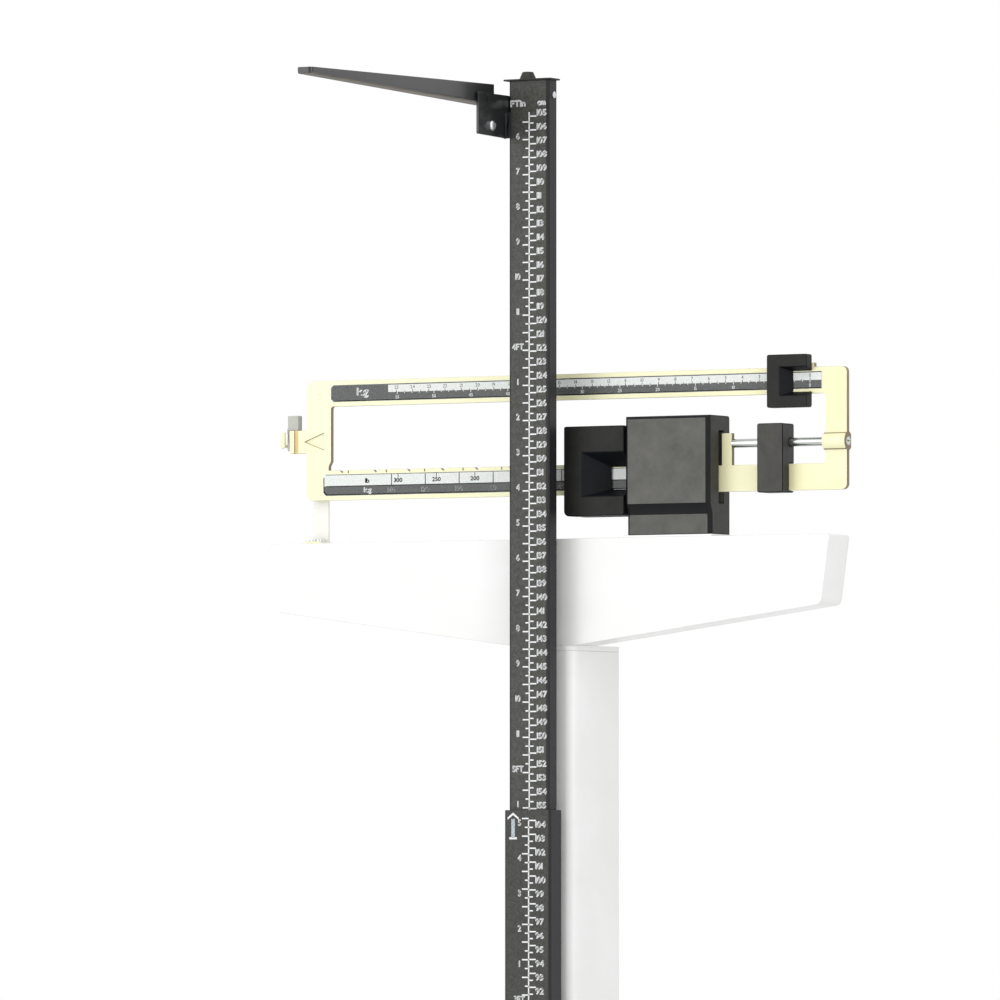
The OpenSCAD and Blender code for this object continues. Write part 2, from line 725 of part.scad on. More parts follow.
// Stirrup: two plates that hang from the beam's load pivot and hold the transfer lever's nose
stirrup_t = 2.5;
stirrup_y = [beam_y - 9.5, beam_y + 9.5];
load_pivot_z = fulcrum_z + pivot_r;
stirrup_top = load_pivot_z + 9;
stirrup_bottom = transfer_z - 7;
bridge_z = [1218, 1226];
module stirrup() {
    color("silver") in_rod_frame() difference() {
        block([load_x - stirrup_w / 2, load_x + stirrup_w / 2], stirrup_y, [stirrup_bottom, stirrup_top]);
        for (z = [[stirrup_bottom - 1, bridge_z[0]], [bridge_z[1], stirrup_top + 1]])
            block([load_x - stirrup_w, load_x + stirrup_w],
                [stirrup_y[0] + stirrup_t, stirrup_y[1] - stirrup_t], z);
        bar_y(load_x, [0, head_back_y], load_pivot_z + 0.3, pivot_r + 0.6);
        bar_y(load_x, [0, head_back_y], transfer_z, stirrup_pin_r);
    }
}
module stirrup_pin() {
    color("silver") in_rod_frame() bar_y(load_x, stirrup_y, transfer_z, stirrup_pin_r);
}

// Height rod

sleeve_w = rod_w + 2 * (sleeve_gap + sleeve_wall);
sleeve_d = rod_d + 2 * (sleeve_gap + sleeve_wall);
sleeve_r = 1.2;
module tube(w, d, wall, r, z) {
    translate([0, 0, z[0]]) linear_extrude(z[1] - z[0]) difference() {
        round_rect(w, d, r);
        round_rect(w - 2 * wall, d - 2 * wall, max(r - wall, 0.3));
    }
}
module sleeve() {
    color("dimgray") in_rod_frame()
        tube(sleeve_w, sleeve_d, sleeve_wall, sleeve_r, [sleeve_bottom, sleeve_top]);
}

bush_h = 24;
bush_gap = 0.1;
module sleeve_bush() {
    color("black") in_rod_frame() tube(rod_w + 2 * sleeve_gap, rod_d + 2 * sleeve_gap,
        sleeve_gap - bush_gap, 0.5, [sleeve_top - bush_h, sleeve_top - 1]);
}

// Each bracket is a collar on the sleeve with a block and a stud at its back
collar_t = 1.5;
module sleeve_brackets() {
    color("dimgray") in_rod_frame() for (z = bracket_z) {
        difference() {
            union() {
                translate([0, 0, z]) linear_extrude(bracket_h)
                    round_rect(sleeve_w + 2 * collar_t, sleeve_d + 2 * collar_t, sleeve_r + collar_t);
                block([-14, 14], [0, front_y], [z, z + bracket_h]);
            }
            translate([0, 0, z - 1]) linear_extrude(bracket_h + 2) round_rect(sleeve_w, sleeve_d, sleeve_r);
        }
        bar_y(0, [front_y - 1, front_y + column_wall + 7], z + bracket_h / 2, stud_r);
    }
}
module bracket_nuts() {
    color("silver") in_rod_frame() for (z = bracket_z) difference() {
        translate([0, front_y + column_wall, z + bracket_h / 2]) rotate([-90, 0, 0])
            cylinder(h = 4, r = stud_r * 1.9, $fn = 6);
        bar_y(0, [0, column_d], z + bracket_h / 2, stud_r);
    }
}

rod_bottom = rod_top - rod_len;
rod_r = 1;
// Height and place of the small screw that holds the cap
cap_screw_down = 10.8;
cap_screw_z = rod_top - cap_screw_down;
cap_screw_y = -0.1;
cap_screw_r = 1.6;
rivet_r = 1.2;
rivets_down = 19;
rivets_z = rod_top - rivets_down;
rivets_y = [-2.1, 2.1];
module inner_rod() {
    color("dimgray") in_rod_frame() difference() {
        tube(rod_w, rod_d, rod_wall, rod_r, [rod_bottom, rod_top]);
        bar_x([0, rod_w], cap_screw_y, cap_screw_z, cap_screw_r);
        for (y = rivets_y) bar_x([-rod_w, 0], y, rivets_z, rivet_r);
    }
}

shoe_h = 8;
module rod_shoe() {
    color("black") in_rod_frame() {
        translate([0, 0, rod_bottom - shoe_h]) linear_extrude(shoe_h)
            round_rect(rod_w + 2 * sleeve_gap - 2 * bush_gap, rod_d + 2 * sleeve_gap - 2 * bush_gap, 0.5);
        translate([0, 0, rod_bottom]) linear_extrude(20)
            round_rect(rod_w - 2 * rod_wall - 0.2, rod_d - 2 * rod_wall - 0.2, 0.5);
    }
}

// The cap stands over the rod on all sides and over the head bracket's plate on the left
cap_t = 1.2;
cap_over = 2;
cap_over_plate = 2.3;
cap_plug_h = 16;
knob_r = 5.2;
knob_h = 5.4;
knob_at = [-4, -0.5];
module rod_cap() {
    cap_x = [plate_x[0] - cap_over_plate, rod_w / 2 + cap_over];
    color("dimgray") in_rod_frame() difference() {
        union() {
            translate([(cap_x[0] + cap_x[1]) / 2, 0, rod_top]) linear_extrude(cap_t)
                round_rect(cap_x[1] - cap_x[0], rod_d + 2 * cap_over, 1.5);
            translate([0, 0, rod_top - cap_plug_h]) linear_extrude(cap_plug_h)
                round_rect(rod_w - 2 * rod_wall - 0.2, rod_d - 2 * rod_wall - 0.2, 0.5);
            translate([knob_at.x, knob_at.y, rod_top + cap_t]) rotate_extrude() polygon(rounded([
                [0, 0], [knob_r + 1, 0], [knob_r, knob_h * 0.45], [knob_r * 0.75, knob_h], [0, knob_h]
            ], [0, 0, 1.5, 1.2, 0]));
        }
        bar_x([0, rod_w], cap_screw_y, cap_screw_z, cap_screw_r);
    }
}
module cap_screw() {
    color("whitesmoke") in_rod_frame() {
        bar_x([rod_w / 2 - 6, rod_w / 2 + 1.2], cap_screw_y, cap_screw_z, cap_screw_r);
        bar_x([rod_w / 2, rod_w / 2 + 1.2], cap_screw_y, cap_screw_z, cap_screw_r * 1.5);
    }
}

// Head bracket: a plate on the rod's left side that carries the arm in front of the rod
plate_t = 2;
plate_x = [-rod_w / 2 - plate_t, -rod_w / 2];
plate_front = -49.5;
plate_top = rod_top - 10.5;
plate_low = rod_top - 41.8;
plate_step_y = -sleeve_d / 2 - 0.7;
plate_step_z = rod_top - 23.1;
// Lip folded from the plate's edge across the gap in front of the rod
lip_fold = 3.4;
lip_fold_t = 1.5;
arm_pin_y = -35.5;
arm_pin_z = rod_top - 13.7;
stop_screw_y = -31.8;
stop_screw_z = rod_top - 33.9;
stop_screw_r = 2;
module head_bracket() {
    color("dimgray") in_rod_frame() difference() {
        union() {
            sheet_yz(plate_x) polygon(rounded([
                [plate_front, plate_top], [plate_front, plate_low + 1], [plate_step_y, plate_low],
                [plate_step_y, plate_step_z], [rod_d / 2, plate_step_z], [rod_d / 2, plate_top]
            ], [1, 1.5, 0, 0, 1, 1]));
            block([plate_x[0], plate_x[1] + lip_fold], [plate_step_y - lip_fold_t, plate_step_y],
                [plate_low, plate_step_z]);
        }
        bar_x([-rod_w, 0], arm_pin_y, arm_pin_z, arm_pin_r);
        bar_x([-rod_w, 0], stop_screw_y, stop_screw_z, stop_screw_r);
        for (y = rivets_y) bar_x([-rod_w, 0], y, rivets_z, rivet_r);
    }
}
module bracket_rivets() {
    color("dimgray") in_rod_frame() for (y = rivets_y) {
        bar_x([plate_x[0] - 1, -rod_w / 2 + rod_wall + 1], y, rivets_z, rivet_r);
        bar_x([plate_x[0] - 1, plate_x[0]], y, rivets_z, rivet_r * 1.4);
        bar_x([-rod_w / 2 + rod_wall, -rod_w / 2 + rod_wall + 1], y, rivets_z, rivet_r * 1.4);
    }
}
module stop_screw() {
    color("silver") in_rod_frame() {
        bar_x([plate_x[0], plate_x[1] + 3], stop_screw_y, stop_screw_z, stop_screw_r);
        translate([plate_x[1], stop_screw_y, stop_screw_z]) rotate([0, 90, 0]) rotate_extrude()
            polygon(rounded([[0, 0], [3.75, 0], [3.75, 2.8], [0, 2.8]], [0, 0, 1.6, 0]));
    }
}
arm_x = [-rod_w / 2 - plate_t - gap - arm_root_w, -rod_w / 2 - plate_t - gap];
module arm_pin() {
    color("dimgray") in_rod_frame() {
        bar_x([arm_x[1] - arm_t - 3, plate_x[1] + 1], arm_pin_y, arm_pin_z, arm_pin_r);
        bar_x([plate_x[1], plate_x[1] + 1], arm_pin_y, arm_pin_z, arm_pin_r * 1.4);
        bar_x([arm_x[1] - arm_t - gap - 1.5, arm_x[1] - arm_t - gap], arm_pin_y, arm_pin_z, arm_pin_r * 1.4);
    }
}

// Head arm: a slim channel, open at the top, that grows lower and narrower towards its tip
arm_tail = 12.4;
arm_pin_up = 4.8;
arm_bottom = arm_pin_z - arm_pin_up;
arm_tail_y = arm_pin_y + arm_tail;
arm_tip_y = arm_pin_y - arm_len;
arm_edge_r = 2.4;
arm_tip_r = 3;
slice = 0.01;
// Thin cross section of the arm at one place, drawn in by a margin at its sides and its floor
module arm_section(y, w, low, high, margin) {
    r = max(arm_edge_r - margin, 0.5);
    sheet_xz([y - slice / 2, y + slice / 2]) polygon(rounded([
        [arm_x[1] - margin, high], [arm_x[1] - w + margin, high],
        [arm_x[1] - w + margin, low + margin], [arm_x[1] - margin, low + margin]
    ], [0, 0, r, r]));
}
module head_arm() {
    root_z = [arm_bottom, arm_bottom + arm_root_h];
    tip_z = [arm_bottom + arm_rise, arm_bottom + arm_rise + arm_tip_h];
    color("black") in_rod_frame() difference() {
        intersection() {
            hull() {
                arm_section(arm_tail_y, arm_root_w, root_z[0], root_z[1], 0);
                arm_section(arm_tip_y, arm_tip_w, tip_z[0], tip_z[1], 0);
            }
            translate([0, 0, arm_bottom - 1]) linear_extrude(arm_root_h + arm_rise + arm_tip_h)
                polygon(rounded([
                    [arm_x[1], arm_tail_y], [arm_x[1] - arm_root_w - 1, arm_tail_y],
                    [arm_x[1] - arm_tip_w, arm_tip_y], [arm_x[1], arm_tip_y]
                ], [0, 0, arm_tip_r, arm_tip_r]));
        }
        hull() {
            arm_section(arm_tail_y + 1, arm_root_w, root_z[0], root_z[1] + 1, arm_t);
            arm_section(arm_tip_y + arm_t, arm_tip_w, tip_z[0], tip_z[1] + 1, arm_t);
        }
        bar_x([arm_x[1] - arm_t - 1, arm_x[1] + 1], arm_pin_y, arm_pin_z, arm_pin_r + fit);
    }
}

// Fulcrum housing

base_plate_t = 1.5;
housing_bottom = head_top + base_plate_t;
set_back = 3;
lower_block_z = 1260;
slot_y = [beam_y - 3.5, beam_y + 3.5];
slot_z = [lower_block_z + 8, beam_bottom + bar_h + 25];
pocket_x = [fulcrum_x - 10, load_x + stirrup_w / 2 + 5];
pocket_y = [beam_y - 11, beam_y + 11];
pocket_top = beam_bottom + bar_h + 9;
module housing_base() {
    color("dimgray") in_rod_frame() difference() {
        block([housing_left - 1.5, housing_right + 1.5], [housing_y[0] + 1, housing_y[1]],
            [head_top, housing_bottom]);
        block(stirrup_slot, pocket_y, [head_top - 1, housing_bottom + 1]);
        for (x = housing_screw_x, y = housing_screw_y)
            bar_z(x, y, [head_top - 1, housing_bottom + 1], housing_screw_r);
    }
}
// Cuts an upright front corner of the housing back at 45 degrees, along its whole height
corner_chamfer = 2.8;
module corner_cut(x) {
    path = [[0, housing_top + 1], [0, housing_block_z], [set_back, lower_block_z],
        [set_back, housing_bottom - 1]];
    for (i = [0 : 2]) hull() for (p = [path[i], path[i + 1]])
        translate([x, housing_y[0] + p[0], p[1] - slice / 2]) rotate(45) linear_extrude(slice)
            square(corner_chamfer * sqrt(2), center = true);
}
module fulcrum_housing() {
    color("dimgray") in_rod_frame() difference() {
        sheet_yz([housing_left, housing_right]) polygon(rounded([
            [housing_y[0], housing_block_z], [housing_y[0], housing_top], [housing_y[1], housing_top],
            [housing_y[1], housing_bottom], [housing_y[0] + set_back, housing_bottom],
            [housing_y[0] + set_back, lower_block_z]
        ], [0.8, 3, 2, 0, 0, 0]));
        for (x = [housing_left, housing_right]) corner_cut(x);
        block([housing_left - 1, housing_right + 1], slot_y, slot_z);
        block(pocket_x, pocket_y, [housing_bottom - 1, pocket_top]);
        for (x = housing_screw_x, y = housing_screw_y)
            bar_z(x, y, [housing_bottom - 1, housing_bottom + thread_in + 1], housing_screw_r);
    }
}

under_head_h = 2.5;
thread_in = 15;
index_head_h = 1.5;
module top_screws() {
    under = head_top - head_wall - carrier_t;
    over = head_top + index_foot_t;
    color("silver") in_rod_frame() for (x = housing_screw_x, y = housing_screw_y) {
        bar_z(x, y, [under - under_head_h, housing_bottom + thread_in], housing_screw_r);
        bar_z(x, y, [under - under_head_h, under], housing_screw_r * 1.8);
    }
    color("silver") in_rod_frame() for (x = index_screw_x) {
        bar_z(x, index_screw_y, [under, over + index_head_h], index_screw_r);
        bar_z(x, index_screw_y, [over, over + index_head_h], index_screw_r * 1.8);
    }
}

knife_len = 5;
knife_y = [beam_y - 10, beam_y + 10];
pin_mid_half = 5;
bearing_w = 14;
bearing_t = 5.5;
knife_half_w = pivot_r * 0.62;
knife_side = pivot_r * 0.1;
knife_tip_r = 0.5;
seat_drop = knife_tip_r + gap;
seat_rise = 6;
module fulcrum_bearings() {
    color("silver") in_rod_frame() for (y0 = [pocket_y[0], pocket_y[1] - bearing_t])
        sheet_xz([y0, y0 + bearing_t]) polygon([
            [fulcrum_x - bearing_w / 2, fulcrum_z - 16], [fulcrum_x + bearing_w / 2 - 2, fulcrum_z - 16],
            [fulcrum_x + bearing_w / 2 - 2, fulcrum_z + 1.5],
            [fulcrum_x + 4.8, fulcrum_z + 3], [fulcrum_x, fulcrum_z - seat_drop],
            [fulcrum_x - 4.8, fulcrum_z + 3], [fulcrum_x - bearing_w / 2, fulcrum_z + seat_rise]
        ]);
}

// A pivot pin: round where it sits in the beam, ground to a knife edge at both ends
module pivot_pin(x, z, edge) {
    bar_y(x, [beam_y - pin_mid_half, beam_y + pin_mid_half], z, pivot_r);
    for (y0 = [knife_y[0], knife_y[1] - knife_len]) {
        translate([x, 0, z]) sheet_xz([y0, y0 + knife_len]) polygon([
            [0, -edge * pivot_r], [knife_half_w, -edge * knife_side], [knife_half_w, edge * knife_half_w],
            [-knife_half_w, edge * knife_half_w], [-knife_half_w, -edge * knife_side]
        ]);
        bar_y(x, [y0, y0 + knife_len], z - edge * pivot_r, knife_tip_r);
    }
}
fulcrum_pin_z = fulcrum_z + pivot_r;
module fulcrum_pivot() {
    color("silver") in_rod_frame() pivot_pin(fulcrum_x, fulcrum_pin_z, 1);
}
module load_pivot() {
    color("silver") in_rod_frame() pivot_pin(load_x, load_pivot_z, -1);
}

// Beam: a flat ring with two bars that carry the scales, a tongue, a boss and a lug

half_beam = beam_t / 2;
beam_front = beam_y - half_beam;
beam_back = beam_y + half_beam;
window_left = beam_left + beam_side_w + 1;
right_side_w = 17.2;
window_right = beam_right - right_side_w;
low_bar_top = beam_bottom + bar_h;
up_bar_bottom = beam_top - bar_h;
ring_r = 5;
tongue_z = [1311, 1328];
tongue_left = beam_left - 14;
tongue_step_x = tongue_left + 4;
tilt_limit = tongue_play / (fulcrum_x - tongue_left);
large_bottom = 1260;
pointer_z = (tongue_z[0] + tongue_z[1]) / 2;
boss_r = 6.5;
boss_back = beam_back + 2.3;
lug_x = [138, 146];
lug_top = zero_screw_z + 7.5;
journal_r = 1.2;
pointer_depth = 1.2;
large_right = housing_left - gap - (large_bottom + large_h - fulcrum_z) * tilt_limit - 0.1;
notch_top = low_bar_top + 3;
notch_half = 2.5;
notch_left = window_left - 3;
notch_floor = 0.9;
notch_in = 16.2;
notch_zero = large_right - notch_in;
// Large poise: eight places, zero to seven notches
large_steps = 7;
large_travel = large_steps * notch_pitch;
small_left = 179.1;
hook_inset = 4;
nub_w = 3.5;
nub_in = 2;
nub_left = small_left + small_w - nub_in;
up_scale_in = 3.3;
low_scale_in = 3.4;
up_scale_z = [beam_top - up_scale_in - scale_h, beam_top - up_scale_in];
low_scale_z = [beam_bottom + low_scale_in, beam_bottom + low_scale_in + low_scale_h];
up_scale_x = [window_left, window_right - 2.9];
low_scale_x = [beam_left + 14.5, large_right - 2];
stop_pin_x = beam_left + 10.5;
stop_pin_z = beam_top - 11.5;
stop_pin_r = 2;

module scale_outline(x, z) {
    polygon(rounded([[x[0], z[0]], [x[0], z[1]], [x[1], z[1]], [x[1], z[0]]], [2, 2, 0, 0]));
}

module beam() {
    color("ivory") in_rod_frame() difference() {
        union() {
            sheet_xz([beam_front, beam_back]) difference() {
                polygon(rounded([
                    [beam_left, beam_bottom], [beam_left, beam_top],
                    [beam_right, beam_top], [beam_right, beam_bottom]
                ], [ring_r, ring_r + 1, ring_r - 1, ring_r - 1]));
                polygon(rounded([
                    [window_left - 2, low_bar_top], [window_left - 2, low_bar_top + 6],
                    [window_left, low_bar_top + 9.5], [window_left, up_bar_bottom],
                    [window_right, up_bar_bottom], [window_right, low_bar_top]
                ], [1, 1, 1, 2, 3, 3]));
            }
            sheet_xz([beam_front, beam_back]) difference() {
                translate([notch_left, low_bar_top - 1])
                    square([large_right - notch_left, notch_top - low_bar_top + 1]);
                for (i = [0 : large_steps + 1]) polygon([
                    [notch_zero - i * notch_pitch - notch_half, notch_top + 0.1],
                    [notch_zero - i * notch_pitch, low_bar_top + notch_floor],
                    [notch_zero - i * notch_pitch + notch_half, notch_top + 0.1]
                ]);
            }
            block([tongue_left, beam_left + 2], [beam_front, beam_back], tongue_z);
            block([tongue_left, tongue_step_x], [beam_front - 1, beam_back], tongue_z);
            block([nub_left, nub_left + nub_w], [beam_front, beam_back], [beam_top - 1, beam_top + 3]);
            block(lug_x, [beam_front, beam_back], [low_bar_top - 1, lug_top]);
            intersection() {
                bar_x([window_right - 1, boss_right], beam_y, zero_screw_z, boss_r);
                block([window_right - 2, boss_right + 1], [beam_y - 2 * boss_r, boss_back],
                    [zero_screw_z - 2 * boss_r, zero_screw_z + 2 * boss_r]);
            }
        }
        sheet_xz([beam_front - 1, beam_front + pointer_depth]) polygon([
            [beam_left - 2, pointer_z],
            [beam_left + 15, pointer_z + 6.5],
            [beam_left + 15, pointer_z - 6.5]
        ]);
        sheet_xz([beam_front - 1, beam_front + scale_t]) scale_outline(up_scale_x, up_scale_z);
        sheet_xz([beam_front - 1, beam_front + scale_t]) scale_outline(low_scale_x, low_scale_z);
        bar_y(fulcrum_x, [0, head_back_y], fulcrum_pin_z, pivot_r);
        bar_y(load_x, [0, head_back_y], load_pivot_z, pivot_r);
        bar_y(stop_pin_x, [beam_front - 1, beam_back + 1], stop_pin_z, stop_pin_r);
        bar_x([lug_x[0] - 1, lug_x[1] + 1], beam_y, zero_screw_z, journal_r + fit);
        bar_x([window_right - 2, boss_right + 1], beam_y, zero_screw_z, zero_screw_d / 2 + fit);
    }
}
module upper_scale() {
    color("gainsboro") in_rod_frame() sheet_xz([beam_front, beam_front + scale_t])
        scale_outline(up_scale_x, up_scale_z);
}
module lower_scale() {
    color("gainsboro") in_rod_frame() sheet_xz([beam_front, beam_front + scale_t])
        scale_outline(low_scale_x, low_scale_z);
}
module stop_pin() {
    color("silver") in_rod_frame() bar_y(stop_pin_x, [beam_front, beam_back + 6.5], stop_pin_z, stop_pin_r);
}
weight_x = [tongue_left - 2.3, tongue_left + 6.7];
weight_t = 2.8;
weight_y = [beam_front, beam_back + 2];
module tongue_weight() {
    color("silver") in_rod_frame() {
        block(weight_x, weight_y, [tongue_z[1], tongue_z[1] + 11]);
        block([tongue_left - weight_t, tongue_left], [beam_front + 0.5, beam_back],
            [tongue_z[0] + 2, tongue_z[1] + 1]);
    }
}

// Plate behind the beam's left end: its slot stops the beam, its arm ends in the fixed index
index_y = [weight_y[1] + 2 * gap, weight_y[1] + 2 * gap + 2];
index_top = stop_pin_z + 12;
slot_half_h = stop_pin_r + (fulcrum_x - stop_pin_x) * tilt_limit + 0.3;
slot_half_w = stop_pin_r + 2;
index_arm_z = [pointer_z - 4, pointer_z + 4];
index_tip_w = 3.7;
index_tip_z = [pointer_z - 4.1, pointer_z + 7.1];
index_cut = 1.8;
index_bridge_h = 2.5;
module index_plate() {
    color("whitesmoke") in_rod_frame() difference() {
        union() {
            block(index_x, index_y, [head_top, index_top]);
            block(index_x, index_foot_y, [head_top, head_top + index_foot_t]);
            block([pointer_left, index_x[0] + 1], index_y, index_arm_z);
            block([pointer_left, pointer_left + 2], [beam_front - 1, index_y[1]],
                [index_arm_z[0], index_arm_z[0] + index_bridge_h]);
            sheet_xz([beam_front - 2, beam_front]) polygon([
                [pointer_left, index_tip_z[0]],
                [pointer_left, index_tip_z[1] - index_cut],
                [pointer_left + index_cut, index_tip_z[1]],
                [pointer_left + index_tip_w, index_tip_z[1]],
                [pointer_left + index_tip_w, index_tip_z[0]]
            ]);
        }
        block([stop_pin_x - slot_half_w, stop_pin_x + slot_half_w], [index_y[0] - 1, index_y[1] + 1],
            [stop_pin_z - slot_half_h, stop_pin_z + slot_half_h]);
        for (x = index_screw_x) bar_z(x, index_screw_y, [head_top - 1, head_top + 10], index_screw_r);
    }
}

// Poises. A funnel in the front lets the scale be read at the poise. Its front and its back
// opening each lie inside the poise by three margins: at the left, below and above.
module funnel(x, z, y, front_in, back_in) {
    hull() {
        block([x[0] + front_in[0], x[1] + 1], [y[0] - 1, y[0]], [z[0] + front_in[1], z[1] - front_in[2]]);
        block([x[0] + back_in[0], x[1] + 1], [y[1], y[1] + 1], [z[0] + back_in[1], z[1] - back_in[2]]);
    }
}

large_left = large_right - large_w;
large_front = housing_y[0] + 1.5;
large_back = beam_back + 8;
cheek_y = [beam_front - 1 - gap, beam_back + gap];
large_front_in = [14.3, 14.3, 18.8];
large_back_in = [34, 20, 30.5];
module large_poise() {
    top = large_bottom + large_h;
    color("dimgray") in_rod_frame() difference() {
        sheet_xz([large_front, large_back]) polygon(rounded([
            [large_left, large_bottom], [large_left, top], [large_right, top], [large_right, large_bottom]
        ], [4, 1.5, 1.5, 1.5]));
        block([large_left - 1, large_right + 1], cheek_y, [large_bottom - 1, notch_top + gap]);
        funnel([large_left, large_right], [large_bottom, top], [large_front, cheek_y[0]],
            large_front_in, large_back_in);
    }
}

small_bottom = 1335;
small_front = 23.5;
small_front_in = [10.1, 8.4, 8.9];
small_back_in = [18.3, 11.9, 12.3];
hook_t = 1.8;
module small_poise() {
    top = small_bottom + small_h;
    right = small_left + small_w;
    color("dimgray") in_rod_frame() difference() {
        union() {
            sheet_xz([small_front, beam_front - gap]) polygon(rounded([
                [small_left, small_bottom], [small_left, top], [right, top], [right, small_bottom]
            ], [1.5, 1.5, 1.5, 1.5]));
            block([small_left + hook_inset, right - hook_inset],
                [beam_front - gap - 1, beam_back + gap + hook_t], [beam_top + gap, top - 2]);
            block([small_left + hook_inset, right - hook_inset],
                [beam_back + gap, beam_back + gap + hook_t], [beam_top - 12, top - 2]);
        }
        funnel([small_left, right], [small_bottom, top], [small_front, beam_front - gap],
            small_front_in, small_back_in);
    }
}

counter_x = 172;
counter_bottom = 1274.5;
counter_front = beam_front - gap - 9.8;
module counterweight() {
    color("dimgray") in_rod_frame() difference() {
        sheet_xz([counter_front, counter_front + counter_d]) polygon(rounded([
            [counter_x, counter_bottom], [counter_x, counter_bottom + counter_h],
            [counter_x + counter_w, counter_bottom + counter_h], [counter_x + counter_w, counter_bottom]
        ], [1.5, 1.5, 1.5, 1.5]));
        block([counter_x - 1, counter_x + counter_w + 1], [beam_front - gap, beam_back + 20],
            [beam_bottom - gap, low_bar_top + gap]);
        bar_x([counter_x - 1, counter_x + counter_w + 1], beam_y, zero_screw_z, zero_screw_d / 2 + fit);
    }
}

slot_t = 1;
module zero_screw() {
    color("silver") in_rod_frame() difference() {
        union() {
            bar_x([lug_x[1] + gap, boss_right], beam_y, zero_screw_z, zero_screw_d / 2);
            bar_x([lug_x[0], lug_x[1] + 1], beam_y, zero_screw_z, journal_r);
        }
        block([boss_right - 1.5, boss_right + 1], [0, head_back_y],
            [zero_screw_z - slot_t / 2, zero_screw_z + slot_t / 2]);
    }
}

base_tray();
rubber_feet();
foot_screws();
wheel_axle();
axle_clips();
wheel_left();
wheel_right();
rear_deck();
lever_stands();
long_lever();
short_lever();
lever_pins();
platform_posts();
platform_pan();
platform_mat();
column_foot();
column_bolts();
column();
column_cap();
crosshead();
crosshead_back();
back_screws();
carrier_frame();
carrier_bolts();
lever_hanger();
hanger_pin();
transfer_lever();
draft_rod();
draft_pin();
stirrup();
stirrup_pin();
sleeve();
sleeve_bush();
sleeve_brackets();
bracket_nuts();
inner_rod();
rod_shoe();
rod_cap();
cap_screw();
head_bracket();
bracket_rivets();
stop_screw();
arm_pin();
head_arm();
housing_base();
fulcrum_housing();
top_screws();
fulcrum_bearings();
beam();
upper_scale();
lower_scale();
fulcrum_pivot();
load_pivot();
stop_pin();
tongue_weight();
index_plate();
large_poise();
small_poise();
counterweight();
zero_screw();
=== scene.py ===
"""Looks of a mechanical physician scale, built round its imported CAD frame. Metres."""
import math

import bmesh
import bpy
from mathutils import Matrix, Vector
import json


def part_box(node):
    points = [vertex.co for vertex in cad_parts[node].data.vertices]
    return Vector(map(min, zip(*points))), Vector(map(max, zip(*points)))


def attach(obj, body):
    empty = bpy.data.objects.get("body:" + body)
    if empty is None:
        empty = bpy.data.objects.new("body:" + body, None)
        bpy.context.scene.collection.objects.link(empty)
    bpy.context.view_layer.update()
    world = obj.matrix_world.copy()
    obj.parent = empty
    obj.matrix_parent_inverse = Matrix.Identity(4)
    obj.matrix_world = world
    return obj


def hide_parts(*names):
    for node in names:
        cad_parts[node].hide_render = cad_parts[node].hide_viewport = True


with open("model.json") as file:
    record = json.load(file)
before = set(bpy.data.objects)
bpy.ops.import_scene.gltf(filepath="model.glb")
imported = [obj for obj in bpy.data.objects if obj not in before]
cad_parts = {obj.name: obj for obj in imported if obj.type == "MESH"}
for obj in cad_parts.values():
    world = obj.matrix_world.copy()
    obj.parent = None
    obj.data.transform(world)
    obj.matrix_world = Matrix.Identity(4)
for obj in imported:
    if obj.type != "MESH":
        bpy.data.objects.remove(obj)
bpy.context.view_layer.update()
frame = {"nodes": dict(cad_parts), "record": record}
MM = 0.001

# The rod frame: the middle of the height rod's section, at the level of the platform's surface
rod_lo, rod_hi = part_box("inner_rod")
ORIGIN = Vector(((rod_lo.x + rod_hi.x) / 2, (rod_lo.y + rod_hi.y) / 2,
                 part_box("platform_mat")[1].z))
BODY = {node: name for name, nodes in frame["record"]["behaviour"]["bodies"].items()
        for node in nodes}


def at(x, y, z):
    """A point in millimetres of the rod frame, as a point of the part's frame in metres."""
    return ORIGIN + Vector((x, y, z)) * MM


def box_mm(node):
    """A node's box in millimetres of the rod frame."""
    lo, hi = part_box(node)
    return (lo - ORIGIN) / MM, (hi - ORIGIN) / MM


# Materials

# How deep the surface texture of each kind of finish is, in metres
PEEL_DEPTH = 0.00025
PAINT_DEPTH = 0.0003
DRAWN_DEPTH = 0.0002
POLISH_DEPTH = 0.0001
# How noise is drawn out along a section or along a turned or rolled piece
ALONG_Z = (1, 1, 0.04)
ALONG_X = (0.02, 1, 1)
COAT_ROUGH = 0.12


def linear(rgb):
    """A colour given as it looks, from 0 to 255, in Blender's linear values."""
    out = []
    for c in rgb:
        c = c / 255
        out.append(c / 12.92 if c <= 0.04045 else ((c + 0.055) / 1.055) ** 2.4)
    return (*out, 1.0)


def paler(rgb, step):
    """A colour with each of its values raised by step."""
    return [c + step for c in rgb]


